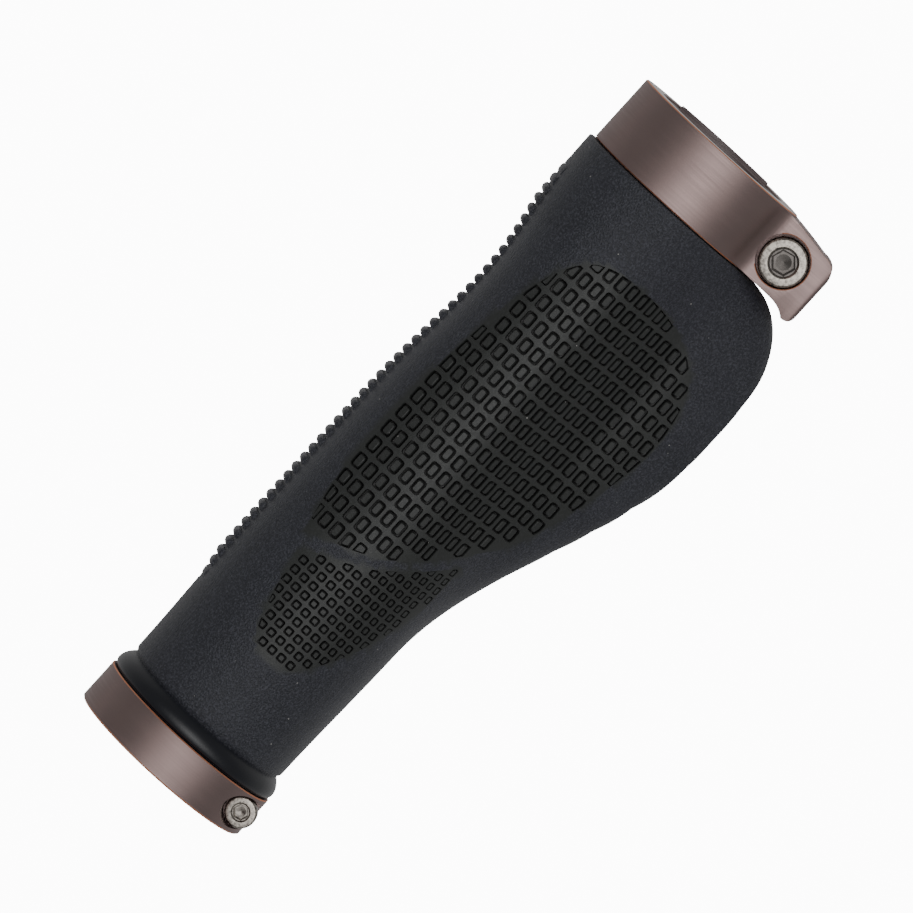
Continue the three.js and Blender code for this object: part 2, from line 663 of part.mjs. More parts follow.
// The clamp's lug seen from above: a toe towards the rubber, a swept outboard side
function lugPlan() {
  const inner = -outerBore - EDGE_CHAMFER;
  const outer = -lugReach;
  const toe = clampStart - LUG_FOOT;
  const heel = clampEnd - LUG_SWEEP;
  const shape = new THREE.Shape();
  shape.moveTo(clampStart + EDGE_CHAMFER, inner);
  shape.lineTo(clampStart, outer + LUG_FOOT_RISE);
  shape.quadraticCurveTo(clampStart, outer + LUG_TOE_ROUND + LUG_FOOT, toe, outer + LUG_TOE_ROUND);
  shape.quadraticCurveTo(toe, outer, toe + LUG_TOE_ROUND, outer);
  shape.lineTo(heel - LUG_HEEL_ROUND, outer);
  shape.quadraticCurveTo(heel, outer, heel, outer + LUG_HEEL_ROUND);
  shape.quadraticCurveTo(clampEnd - EDGE_CHAMFER, -clampRadius, clampEnd - EDGE_CHAMFER, inner);
  shape.closePath();
  return shape;
}

// The lug seen along the bar: level top and bottom, rounded outer edge, and a hollow
// fillet where it leaves the barrel
function lugProfile() {
  const rootAngle = radians(LUG_ROOT_ANGLE);
  const rootY = -clampRadius * Math.cos(rootAngle);
  const rootZ = clampRadius * Math.sin(rootAngle);
  const level = LUG_HALF_HEIGHT;
  const flatFrom = -clampRadius - EDGE_CHAMFER;
  const round = LUG_EDGE_ROUND;
  const shape = new THREE.Shape();
  shape.moveTo(rootY, -rootZ);
  shape.lineTo(rootY, rootZ);
  shape.quadraticCurveTo(-Math.sqrt(clampRadius ** 2 - level ** 2), level, flatFrom, level);
  shape.lineTo(-lugReach + round, level);
  shape.quadraticCurveTo(-lugReach, level, -lugReach, level - round);
  shape.lineTo(-lugReach, -level + round);
  shape.quadraticCurveTo(-lugReach, -level, -lugReach + round, -level);
  shape.lineTo(flatFrom, -level);
  shape.quadraticCurveTo(-Math.sqrt(clampRadius ** 2 - level ** 2), -level, rootY, -rootZ);
  return shape;
}

function outboardClamp() {
  const ring = chamferedRing(outerBore, clampRadius, clampStart, clampEnd);
  const plan = raised(lugPlan(), -2 * LUG_HALF_HEIGHT, 2 * LUG_HALF_HEIGHT);
  const lug = plan.intersect(alongBar(lugProfile(), clampStart - 2 * LUG_FOOT, clampEnd));
  const x = clampStart + CLAMP_BOLT_ALONG;
  return ring.add(lug).subtract(boltCuts(
    CLAMP_BOLT, x, clampBoltOut, CLAMP_SEAT_HEIGHT, CLAMP_SLIT, clampStart, clampEnd,
  ));
}

// A socket cap screw standing upright, its head resting just above its seat
function capScrew(bolt, x, out, seat) {
  const under = seat + SEAT_GAP;
  const top = under + bolt.headHeight;
  const c = BOLT_CHAMFER;
  const profile = [
    [0, under - bolt.length], [bolt.shank - c, under - bolt.length], [bolt.shank, under - bolt.length + c],
    [bolt.shank, under], [bolt.head, under], [bolt.head, top - c], [bolt.head - c, top], [0, top],
  ].map(([radius, height]) => new THREE.Vector2(radius, height));
  const body = new THREE.LatheGeometry(profile, ROUND_SEGMENTS / 2);
  body.rotateX(Math.PI / 2);
  const corner = bolt.socket / Math.sqrt(3);
  const socket = new THREE.CylinderGeometry(corner, corner, 2 * bolt.socketDepth, 6);
  socket.rotateX(Math.PI / 2);
  socket.translate(0, 0, top);
  const solid = toSolid(body).subtract(toSolid(socket));
  return solid.translate([x, -out, 0]);
}

function outboardClampScrew() {
  return capScrew(CLAMP_BOLT, clampStart + CLAMP_BOLT_ALONG, clampBoltOut, CLAMP_SEAT_HEIGHT);
}

function inboardRingScrew() {
  return capScrew(RING_BOLT, RING_BOLT_ALONG, ringBoltOut, RING_SEAT_HEIGHT);
}

// Finishes
const rubber = new THREE.MeshStandardMaterial({ color: 0x1f2124, roughness: 0.75, metalness: 0 });
const hardPlastic = new THREE.MeshStandardMaterial({ color: 0x4a4240, roughness: 0.5, metalness: 0 });
const anodised = new THREE.MeshStandardMaterial({ color: 0x85797a, roughness: 0.4, metalness: 0.9 });
const stainless = new THREE.MeshStandardMaterial({ color: 0xb4b2ae, roughness: 0.3, metalness: 1 });

const grip = new THREE.Group();
const pieces = [
  ['rubber_grip', rubberGrip(), rubber],
  ['core_sleeve', coreSleeve(), hardPlastic],
  ['inboard_clamp_ring', inboardClampRing(), anodised],
  ['inboard_ring_screw', inboardRingScrew(), stainless],
  ['outboard_clamp', outboardClamp(), anodised],
  ['outboard_clamp_screw', outboardClampScrew(), stainless],
];
for (const [name, solid, material] of pieces) {
  const mesh = new THREE.Mesh(toGeometry(solid), material);
  mesh.name = name;
  grip.add(mesh);
}

export default grip;
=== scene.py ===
# %% [markdown]
# # A clamped handlebar grip
# The grip is a rubber body on a hard sleeve, held on the bar by a narrow clamp ring at its
# inboard end and a wide clamp with a lug at its outboard end. The construction model gives
# every piece its place and size. This script gives each piece its finished surface.

# %% Load the construction model
from math import cos, degrees, exp, pi, radians, sin, sqrt

import bmesh
import bpy
import numpy as np
from mathutils import Matrix, Vector


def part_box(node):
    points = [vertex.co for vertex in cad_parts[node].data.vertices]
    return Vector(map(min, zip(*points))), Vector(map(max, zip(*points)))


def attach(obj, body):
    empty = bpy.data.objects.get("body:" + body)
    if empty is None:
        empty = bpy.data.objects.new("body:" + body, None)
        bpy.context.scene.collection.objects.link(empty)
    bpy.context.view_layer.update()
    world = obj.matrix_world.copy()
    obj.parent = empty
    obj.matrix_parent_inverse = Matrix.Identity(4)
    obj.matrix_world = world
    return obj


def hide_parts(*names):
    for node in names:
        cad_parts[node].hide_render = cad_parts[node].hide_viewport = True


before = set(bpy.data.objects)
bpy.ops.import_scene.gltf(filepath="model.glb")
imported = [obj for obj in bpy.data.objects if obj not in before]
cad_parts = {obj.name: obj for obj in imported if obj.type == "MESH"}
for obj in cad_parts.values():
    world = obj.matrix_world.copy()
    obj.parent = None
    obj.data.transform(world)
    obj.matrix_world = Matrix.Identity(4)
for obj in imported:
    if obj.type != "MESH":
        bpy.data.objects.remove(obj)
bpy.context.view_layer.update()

MM = 0.001
print("nodes:", sorted(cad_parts))

# %% [markdown]
# ## Camera
# The grip was photographed from straight above with a long lens, and the bar's axis climbs
# across the picture at a fixed slope. The lens is worked out from the picture's scale at the
# grip: pixels a millimetre times the distance.

# %% Camera
PICTURE_SIDE = 913  # pixels
PIXELS_PER_MM = 6.05  # at the bar's axis
BAR_SLOPE = radians(47.73)  # of the bar in the picture, above level
LOOK_AT = Vector((71.1, -1.9, 0))  # millimetres
CAMERA_FROM = Vector((187.4, -1.9, 1430))
SENSOR = 36  # millimetres wide
NEAREST, FARTHEST = 0.05, 100  # what the camera sees, in metres


def add_object(name, data):
    """An object in the scene for a camera, a light or a mesh."""
    made = bpy.data.objects.new(name, data)
    bpy.context.scene.collection.objects.link(made)
    return made


camera_data = bpy.data.cameras.new("camera")
camera = add_object("camera", camera_data)
bpy.context.scene.camera = camera
back = (CAMERA_FROM - LOOK_AT).normalized()
picture_up = Vector((sin(BAR_SLOPE), cos(BAR_SLOPE), 0))
right = picture_up.cross(back).normalized()
axes = Matrix((right, back.cross(right), back)).transposed()
camera.matrix_world = Matrix.Translation(CAMERA_FROM * MM) @ axes.to_4x4()
camera_data.sensor_width = SENSOR
focal_pixels = PIXELS_PER_MM * (CAMERA_FROM - LOOK_AT).length
camera_data.lens = focal_pixels * SENSOR / PICTURE_SIDE
camera_data.clip_start, camera_data.clip_end = NEAREST, FARTHEST
print("lens:", round(camera_data.lens), "mm")

# %% [markdown]
# ## Materials
# Colours are written as the hex values that a picture editor shows, and one function turns
# them into the linear numbers of a shader. Another adds a node and gives one of its outputs.

# %% Colour and node helpers
def linear(hex_colour):
    """An sRGB hex value as linear red, green, blue and alpha."""
    parts = [int(hex_colour[k:k + 2], 16) / 255 for k in (1, 3, 5)]
    return [c / 12.92 if c <= 0.04045 else ((c + 0.055) / 1.055) ** 2.4 for c in parts] + [1]


def set_inputs(material, node, **inputs):
    """Links a node's inputs, or sets them to values or hex colours. An input goes by its name,
    or by i and its number where several share a name."""
    for name, value in inputs.items():
        numbered = name[0] == "i" and name[1:].isdigit()
        socket = node.inputs[int(name[1:]) if numbered else name.replace("_", " ")]
        if isinstance(value, bpy.types.NodeSocket):
            material.node_tree.links.new(value, socket)
        else:
            socket.default_value = linear(value) if isinstance(value, str) else value


def add_node(material, kind, output=0, settings=None, **inputs):
    """A new shader node with its settings and inputs. Gives one of its outputs."""
    node = material.node_tree.nodes.new("ShaderNode" + kind)
    for name, value in (settings or {}).items():
        setattr(node, name, value)
    set_inputs(material, node, **inputs)
    return node.outputs[output]


def new_material(name):
    material = bpy.data.materials.new(name)
    material.use_nodes = True
    return material, material.node_tree.nodes["Principled BSDF"]


# %% [markdown]
# ## Floor and light
# A pale floor lies well below the grip, so that the broad lights overhead leave no shadow on
# it. The metal shows them as one wide bright band, and the floor as a pale line at each edge.

# %% Floor
FLOOR_BELOW = 0.45  # metres under the bar's axis
FLOOR_RADIUS = 30
ROUND_SIDES = 64  # of a circle that has to look round
FLOOR_GLOW, FLOOR_SEEN = 0.3, 12  # the paper is lit from behind: what it gives, what is seen

floor_mesh = bmesh.new()
bmesh.ops.create_circle(floor_mesh, cap_ends=True, segments=ROUND_SIDES, radius=FLOOR_RADIUS)
bmesh.ops.translate(floor_mesh, verts=floor_mesh.verts, vec=(0, 0, -FLOOR_BELOW))
floor_data = bpy.data.meshes.new("floor")
floor_mesh.to_mesh(floor_data)
floor_mesh.free()
add_object("floor", floor_data)

paper, shader = new_material("matt white paper sweep")
seen = add_node(paper, "LightPath", "Is Camera Ray")
glow = add_node(paper, "MapRange", Value=seen, To_Min=FLOOR_GLOW, To_Max=FLOOR_SEEN)
set_inputs(paper, shader, Base_Color="#8c8c8c", Roughness=0.9,
           Emission_Color="#ffffff", Emission_Strength=glow)
floor_data.materials.append(paper)
print("floor:", FLOOR_BELOW, "m below the bar's axis")

# %% Lights
ROOM_GLOW = 0.27  # the walls of the room, much dimmer than the softboxes
GRIP_MIDDLE = Vector((0.07, 0, 0))
SOFTBOXES = {  # place and size in metres, and watts
    "wide overhead softbox": ((0.2, -0.22, 1.9), (2.8, 2.1), 16.5),
    "narrow overhead softbox": ((0.36, -0.19, 1.85), (1.1, 0.8), 5.8),
}

for name, (place, size, watts) in SOFTBOXES.items():
    data = bpy.data.lights.new(name, "AREA")
    data.shape = "RECTANGLE"
    data.size, data.size_y = size
    data.energy = watts
    light = add_object(name, data)
    light.location = place
    light.rotation_euler = (GRIP_MIDDLE - Vector(place)).to_track_quat("-Z", "Y").to_euler()
    print(name, "of", watts, "W")

world = bpy.data.worlds.new("studio")
bpy.context.scene.world = world
world.use_nodes = True
seen = add_node(world, "LightPath", "Is Camera Ray")
glow = add_node(world, "MapRange", Value=seen, To_Min=ROOM_GLOW, To_Max=FLOOR_SEEN)
set_inputs(world, world.node_tree.nodes["Background"], Color="#ffffff", Strength=glow)

# %% [markdown]
# ## The rubber body: its form
# The real body is moulded round the hard sleeve. Its section is a circle at the inboard end
# and grows a palm wing towards the outboard end, so it could be lofted through sections.
# Here the skin is first drawn flat, as a sheet, because the palm pattern and the finger ribs
# are easy to cut there. The sheet is then wrapped round the same sections.

# %% Sizes of the rubber body
def corners(node):
    """The lowest and highest corner of a construction node, in millimetres."""
    low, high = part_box(node)
    return low / MM, high / MM


body_low, body_high = corners("rubber_grip")
ring_low, ring_high = corners("inboard_clamp_ring")
clamp_low, clamp_high = corners("outboard_clamp")
ring_radius, clamp_radius = ring_high.z, clamp_high.y
LIP_GAP = 0.12  # a thin dark line between the ring and the lip
body_start, body_end = ring_high.x + LIP_GAP, body_high.x
BARREL_RADIUS = 16.0
RUBBER_BORE = 13.0
BEAD_WIDTH, BEAD_CREST, BEAD_BELOW_RING = 3.5, 0.8, 0.1  # rounded lip beside the ring
BEAD_EDGE_ROUND = 0.8
NECK_WIDTH, NECK_DEPTH = 0.9, 0.45  # groove behind the lip
BELLY, BELLY_LENGTH = 0.6, 30  # fuller away from the lip
END_LIP, END_ROUND = 0.1, 0.2  # outboard end
FLARE_LENGTH, FLARE_END, FINGER_FLARE = 25, 7, 0.85  # swelling towards the clamp
WAIST_DEPTH, WAIST_FROM_END, WAIST_SPREAD = 1.45, 29.5, 15.5  # hollow for the little finger
WING_OVERHANG, WING_RISE, WING_CREST = 15.2, 59.4, 3.6
WING_TAIL, WING_TAIL_POWER = 23.1, 2.35
bead_crest = body_low.x + BEAD_CREST
bead_end = body_low.x + BEAD_WIDTH
wing_crest = body_end - WING_TAIL
wing_full = wing_crest - WING_CREST
wing_start = wing_full - WING_RISE
print("rubber from", round(body_start, 2), "to", round(body_end, 2), "mm along the bar")

# %% The section round the bar
# From the finger side over the top to the wing. Each point has its angle on the plain
# barrel, and how far the full wing moves it outwards and upwards, as shares of its overhang.
SECTION = np.array([
    (180, 0, 0), (150, 0, 0.05), (122, 0, 0.04), (100, 0, 0), (81, 0, -0.02),
    (62.5, 0, -0.083), (44, 0, -0.128), (29, 0.147, -0.128), (17, 0.365, -0.037),
    (6, 0.743, -0.043), (-5, 1, -0.077), (-17, 0.853, -0.064), (-31, 0.468, 0.04),
    (-50, 0.173, 0.12), (-70, 0.03, 0.03), (-93, 0, 0), (-122, 0, 0), (-151, 0, 0),
])
SEAM_POINT = 15  # the point underneath where the sheet's two edges meet
SAMPLES = 20  # on the curve between two points
print("the section has", len(SECTION), "points")


# %% How the section grows along the bar
def smooth(start, end, value):
    share = min(max((value - start) / (end - start), 0), 1)
    return share * share * (3 - 2 * share)


def wing_share(x):
    if x <= wing_crest:
        return smooth(wing_start, wing_full, x)
    tail = min((x - wing_crest) / WING_TAIL, 1)
    return (1 - tail ** WING_TAIL_POWER) ** (1 / WING_TAIL_POWER)


def flare_share(x):
    return smooth(body_end - FLARE_LENGTH, body_end - FLARE_END, x)


def barrel_at(x):
    crest, neck = ring_radius - BEAD_BELOW_RING, BARREL_RADIUS - NECK_DEPTH
    if x < bead_crest:
        before = (bead_crest - x) / (bead_crest - body_start)
        return crest - BEAD_EDGE_ROUND * (1 - sqrt(1 - before * before))
    if x < bead_end:
        return crest - (crest - neck) * ((x - bead_crest) / (bead_end - bead_crest)) ** 2
    rise = NECK_DEPTH * smooth(bead_end, bead_end + NECK_WIDTH, x)
    belly = BELLY * smooth(bead_end, bead_end + BELLY_LENGTH, x)
    flare = clamp_radius + END_LIP - BARREL_RADIUS - BELLY
    return neck + rise + belly + flare * flare_share(x)


def finger_reach(x):
    offset = (x - (body_end - WAIST_FROM_END)) / WAIST_SPREAD
    return barrel_at(x) - WAIST_DEPTH * exp(-offset * offset) + FINGER_FLARE * flare_share(x)


def wing_reach(x):
    return barrel_at(x) + WING_OVERHANG * wing_share(x)


print("the wing reaches", round(wing_reach(wing_crest), 1), "mm from the bar's axis")


# %% The curve round one section
def section_curve(x):
    """Points (y, z) round the grip at x, on a smooth curve that starts at the seam."""
    angle = np.radians(SECTION[:, 0])
    wing = WING_OVERHANG * wing_share(x)
    side = np.where(np.cos(angle) < 0, finger_reach(x), barrel_at(x))
    knots = np.stack((
        -(side * np.cos(angle) + wing * SECTION[:, 1]),
        barrel_at(x) * np.sin(angle) + wing * SECTION[:, 2],
    ), axis=1)
    before, start, end, after = (
        np.roll(knots, 1 - SEAM_POINT - k, axis=0) for k in range(4))
    a, b, c = (np.sqrt(np.linalg.norm(q - p, axis=1))[:, None]
               for p, q in ((before, start), (start, end), (end, after)))
    leave = ((start - before) / a - (end - before) / (a + b) + (end - start) / b) * b
    arrive = ((end - start) / b - (after - start) / (b + c) + (after - end) / c) * b
    t = (np.arange(SAMPLES) / SAMPLES)[None, :, None]
    leave, arrive, start, end = (v[:, None, :] for v in (leave, arrive, start, end))
    curve = start + leave * t + (3 * (end - start) - 2 * leave - arrive) * t ** 2
    curve = curve + (2 * (start - end) + leave + arrive) * t ** 3
    curve = curve.reshape(-1, 2)
    return np.vstack((curve, curve[:1]))


# %% [markdown]
# ## The rubber body: from flat sheet to grip
# A place on the sheet is (x, s). Over the palm, s is the distance from the bar's axis seen
# from above, positive towards the wing, so that the pattern's rows stay straight. Further
# round, s runs along the surface, and the sheet's two long edges meet underneath.

# %% Sheet places on a section
FINGER_EDGE, WING_EDGE = -48.0, 62.0  # the sheet's long edges
PLAN_FINGER = 12.0  # the pattern keeps inside these limits
PLAN_WING_SHARE = 0.86
TAIL_FROM, TAIL_TO = 113.5, 118.0  # between these x the lines begin to follow the wing


def sheet_places(x):
    """The s of every sample of the section at x."""
    curve = section_curve(x)
    step = np.linalg.norm(np.diff(curve, axis=0), axis=1)
    along = np.concatenate(([0], np.cumsum(step)))
    over_top = curve[:, 1] > 0
    plan = -curve[:, 0]
    finger_limit, wing_limit = -PLAN_FINGER, PLAN_WING_SHARE * wing_reach(x)
    first = int(np.argmax(over_top & (plan > finger_limit)))
    last = len(plan) - 1 - int(np.argmax((over_top & (plan < wing_limit))[::-1]))
    at_first = np.interp(finger_limit, plan[first - 1:first + 1], along[first - 1:first + 1])
    at_last = np.interp(wing_limit, plan[last:last + 2], along[last:last + 2])
    places = plan.copy()
    places[:first] = FINGER_EDGE + along[:first] * (finger_limit - FINGER_EDGE) / at_first
    places[last + 1:] = WING_EDGE - (along[-1] - along[last + 1:]) * (
        (WING_EDGE - wing_limit) / (along[-1] - at_last))
    return places


tail_places = sheet_places(TAIL_FROM)
print("the sheet is", WING_EDGE - FINGER_EDGE, "mm wide, with", len(tail_places), "places across")


# %% From the sheet to the grip
def wrap_column(x, s, lift):
    """Where sheet places that share one x go: on the section, lifted square to it."""
    curve = section_curve(x)
    blend = smooth(TAIL_FROM, TAIL_TO, x)
    places = tail_places if blend == 1 else (
        (1 - blend) * sheet_places(x) + blend * tail_places if blend else sheet_places(x))
    heading = np.gradient(curve, axis=0)
    heading[0] = heading[-1] = heading[0] + heading[-1]
    outward = np.stack((heading[:, 1], -heading[:, 0]), axis=1)
    outward /= np.linalg.norm(outward, axis=1)[:, None]
    y, z = (np.interp(s, places, curve[:, k]) for k in (0, 1))
    out_y, out_z = (np.interp(s, places, outward[:, k]) for k in (0, 1))
    return y + lift * out_y, z + lift * out_z


# %% Helpers for the flat sheet
PLAIN, FINE, COARSE, RIBS = range(4)  # kept in each face's material index while it is flat
SPLINE_STEPS = 5


def straight_cuts(mesh, region, axis, places):
    """Cuts one region of the flat sheet along straight lines across an axis."""
    normal = Vector((1, 0, 0)) if axis == 0 else Vector((0, 1, 0))
    for place in places:
        crossed = []
        for face in mesh.faces:
            if face.material_index == region:
                reach = [v.co[axis] for v in face.verts]
                if min(reach) < place < max(reach):
                    crossed.append(face)
        edges = list({edge for face in crossed for edge in face.edges})
        bmesh.ops.bisect_plane(
            mesh, geom=crossed + edges, dist=1e-3, plane_co=normal * place, plane_no=normal)


def closed_outline(mesh, points, region):
    """One flat face through a row of points, and its edges."""
    face = mesh.faces.new([mesh.verts.new((x, s, 0)) for x, s in points])
    face.material_index = region
    return list(face.edges)


def spline(points):
    """A smooth row of points through a few, in short steps, without the last one."""
    place = [Vector(p) for p in points]
    row = []
    for k in range(len(place) - 1):
        before, start = place[max(k - 1, 0)], place[k]
        end, after = place[k + 1], place[min(k + 2, len(place) - 1)]
        for step in range(SPLINE_STEPS):
            t = step / SPLINE_STEPS
            row.append(0.5 * (2 * start + (end - before) * t
                              + (2 * before - 5 * start + 4 * end - after) * t ** 2
                              + (3 * start - before - 3 * end + after) * t ** 3))
    return row


# %% The two leaf-shaped fields
# Each point of a leaf is the distance inboard of the rubber's end, and the share of the way
# from the bar's axis to the edge of the grip, positive towards the wing.
COARSE_EDGE = [
    (79.1, -.503), (69.4, -.62), (57.4, -.666), (44.5, -.65), (30.4, -.587), (19.9, -.393),
    (14.2, -.112), (12.6, .185), (14.1, .467), (19.5, .699), (29.7, .791), (40.7, .809),
    (53.7, .813), (59.3, .781), (62.5, .723),
]
COARSE_DIAGONAL = [(65.3, .651), (69.6, .493), (73.2, .278), (75.6, .028), (77.8, -.315)]
FINE_EDGE = [
    (66.9, .738), (74.7, .82), (81.7, .804), (89.5, .656), (95.3, .458), (98, .3),
    (98.6, .083), (97.2, -.152), (91.2, -.303), (82.3, -.424),
]
FINE_DIAGONAL = [(80.8, -.315), (78.1, .029), (75.9, .258), (73, .455), (69.9, .618)]


def leaf_outline(edge, diagonal):
    """A leaf's closed outline on the sheet: its curved edge, and the diagonal that closes it."""
    def place(point):
        back, across = point
        x = body_end - back
        return x, across * (finger_reach(x) if across < 0 else wing_reach(x))
    closing = (edge[-1], *diagonal, edge[0])
    return spline([place(p) for p in edge]) + spline([place(p) for p in closing])


# %% The ribs' band
RIB_PITCH, RIB_WIDTH, RIB_HEIGHT = 2.066, 1.65, 0.9
RIBS_FROM_BEAD, RIBS_FROM_END = 17.85, 7.2
RIB_LOWEST, RIB_FADE_IN, RIB_FADE_OUT = 0.3, 3.6, 6.2  # the first and last ribs are lower
RIB_TOP_S, RIB_LOW_S = -19.3, -37.4  # the ribs' two ends, on the sheet
RIB_END_ROUND = 1.2
first_rib = bead_end + RIBS_FROM_BEAD
last_rib = body_end - RIBS_FROM_END
rib_centres = np.arange(first_rib, last_rib, RIB_PITCH)
band = (first_rib - RIB_WIDTH, rib_centres[-1] + RIB_WIDTH)
print(len(rib_centres), "ribs")

# %% The flat sheet, with its leaves and band as single faces
sheet = bmesh.new()
sheet_corners = [sheet.verts.new(p) for p in (
    (body_start, FINGER_EDGE, 0), (body_end, FINGER_EDGE, 0),
    (body_end, WING_EDGE, 0), (body_start, WING_EDGE, 0))]
outline_edges = [sheet.edges.new((sheet_corners[k - 1], sheet_corners[k])) for k in range(4)]
outline_edges += closed_outline(sheet, leaf_outline(COARSE_EDGE, COARSE_DIAGONAL), COARSE)
outline_edges += closed_outline(sheet, leaf_outline(FINE_EDGE, FINE_DIAGONAL), FINE)
outline_edges += closed_outline(sheet, [
    (band[0], RIB_LOW_S), (band[1], RIB_LOW_S), (band[1], RIB_TOP_S), (band[0], RIB_TOP_S)], RIBS)
filled = bmesh.ops.triangle_fill(sheet, edges=outline_edges, use_beauty=False)
for part in filled["geom"]:
    if isinstance(part, bmesh.types.BMFace):
        part.material_index = PLAIN
    elif isinstance(part, bmesh.types.BMEdge):
        part.seam = True
print("flat sheet:", len(sheet.faces), "faces")

# %% A fine lattice over the plain rubber
LATTICE, BEAD_LATTICE, NECK_LINES = 1.5, 0.3, 3
BEAD_TURN, TAIL_TURN = 10, 3  # degrees between two lines, where the form is round
x_lines = [bead_crest - (bead_crest - body_start) * cos(radians(turn))
           for turn in range(BEAD_TURN, 91, BEAD_TURN)]
x_lines += list(np.arange(bead_crest + BEAD_LATTICE, bead_end, BEAD_LATTICE))
x_lines += list(np.linspace(bead_end, bead_end + NECK_WIDTH, NECK_LINES, endpoint=False))
x_lines += list(np.arange(bead_end + NECK_WIDTH, wing_crest, LATTICE))
x_lines += [wing_crest + WING_TAIL * sin(radians(turn))
            for turn in range(TAIL_TURN, 90, TAIL_TURN)]
s_lines = list(np.arange(FINGER_EDGE + LATTICE, WING_EDGE, LATTICE))
straight_cuts(sheet, PLAIN, 0, x_lines)
straight_cuts(sheet, PLAIN, 1, s_lines)
bmesh.ops.dissolve_edges(sheet, edges=[e for e in sheet.edges if e.seam], use_verts=False)
loose = [v for v in sheet.verts if len(v.link_edges) == 2 and len(v.link_faces) == 2
         and all(f.material_index == PLAIN for f in v.link_faces)]
bmesh.ops.dissolve_verts(sheet, verts=loose)
print("with its lattice:", len(sheet.faces), "faces")

# %% Ribs
RIB_TURN, RIB_END_TURNS = 30, (20, 40, 65, 90)  # degrees between two lines over a rib
half_round = [RIB_WIDTH / 2 * cos(radians(turn)) for turn in range(0, 181, RIB_TURN)]
straight_cuts(sheet, RIBS, 0, [c + part for c in rib_centres for part in half_round])
end_round = [RIB_END_ROUND * (1 - cos(radians(turn))) for turn in RIB_END_TURNS]
straight_cuts(sheet, RIBS, 1, [RIB_TOP_S - d for d in end_round])
straight_cuts(sheet, RIBS, 1, [RIB_LOW_S + d for d in end_round])
straight_cuts(sheet, RIBS, 1, [s for s in s_lines if RIB_LOW_S + LATTICE < s < RIB_TOP_S - LATTICE])


def rib_lift(x, s):
    nearest = first_rib + round((x - first_rib) / RIB_PITCH) * RIB_PITCH
    across = abs(x - nearest) / (RIB_WIDTH / 2)
    from_end = min(RIB_TOP_S - s, s - RIB_LOW_S)
    if across >= 1 or from_end <= 0 or not band[0] < x < band[1]:
        return 0
    end = sqrt(1 - max(1 - from_end / RIB_END_ROUND, 0) ** 2)
    fade = min(1, *(RIB_LOWEST + (1 - RIB_LOWEST) * distance / length for distance, length in (
        (nearest - first_rib, RIB_FADE_IN), (last_rib - nearest, RIB_FADE_OUT))))
    return RIB_HEIGHT * fade * end * sqrt(1 - across * across)


for face in sheet.faces:
    if face.material_index == RIBS:
        for v in face.verts:
            v.co.z = rib_lift(v.co.x, v.co.y)
print("with ribs:", len(sheet.faces), "faces")

# %% [markdown]
# ## The rubber body: the palm pattern
# Each cell is a small rounded block in a groove of its own, with plain webs between the
# cells. The webs are cut straight through a leaf, so its edge clips the outer cells as the
# mould does. Insets then step each cell down into its groove and up again to the block.

# %% Pattern cells
# Along the bar and across it, in millimetres. The first column is measured from the rubber's
# end, and shrink is a share of the insets.
COARSE_CELLS = dict(
    region=COARSE, pitch=(3.60, 2.5), web=(0.72, 0.5), corner=0.5,
    first_column=80.74, first_row=-10.7, rows_at=wing_full, shrink=1)
FINE_CELLS = dict(
    region=FINE, pitch=(2.053, 2.04), web=(0.52, 0.45), corner=0.34,
    first_column=100.07, first_row=-8.25, rows_at=body_end - 70, shrink=0.8)
CELL_STEPS = [  # inset, and height over the plain rubber
    (0.05, -0.7), (0.32, -0.85), (0.07, -0.15), (0.12, 0), (0.14, 0.07)]
SMALLEST_CELL = 0.36  # of a whole cell; less is left plain
SHORTEST_SIDE = 2.2  # of the corner's radius; a corner with a shorter side stays sharp
CORNER_FROM, CORNER_TO = 60, 120  # degrees; so does a corner that the leaf's edge clipped
SMALLEST_SHARE = 0.3  # that an inset leaves of a cell's width
CLIPPED_EASE = 1.5  # cells under two thirds of a whole one have smaller insets


def row_places(x, first, pitch):
    """Rows a pitch apart: seen from above on the finger side, along the surface elsewhere."""
    curve = section_curve(x)
    top = curve[:, 1] > 0
    plan, height = -curve[top, 0], curve[top, 1]
    step = np.hypot(np.diff(plan), np.diff(height))
    travel = np.concatenate(([0], np.cumsum(step)))
    travel -= np.interp(0, plan, travel)
    lines, place = [], first
    while place < travel[-1]:
        lines.append(place if place < 0 else float(np.interp(place, travel, plan)))
        place += pitch
    return lines


def round_corners(face, radius):
    """Rounds a cell's corners: two new points, and the corner moved to the arc between."""
    for loop in list(face.loops):
        here = loop.vert
        sides = loop.edge, loop.link_loop_prev.edge
        away = [edge.other_vert(here).co - here.co for edge in sides]
        angle = degrees(away[0].angle(away[1]))
        shortest = min(side.length for side in away)
        if shortest < SHORTEST_SIDE * radius or not CORNER_FROM < angle < CORNER_TO:
            continue
        for edge, side in zip(sides, away):
            bmesh.utils.edge_split(edge, here, radius / side.length)
        here.co += (away[0].normalized() + away[1].normalized()) * radius * (1 - sqrt(0.5))


def draw_in(face, inset, height):
    """Moves a cell's edge inwards, by the same amount along the bar and across it."""
    low, high = (Vector(map(bound, *(v.co for v in face.verts))) for bound in (min, max))
    centre, half = (low + high) / 2, (high - low) / 2
    for v in face.verts:
        for axis in (0, 1):
            share = max(1 - inset / half[axis], SMALLEST_SHARE)
            v.co[axis] = centre[axis] + (v.co[axis] - centre[axis]) * share
        v.co.z = height


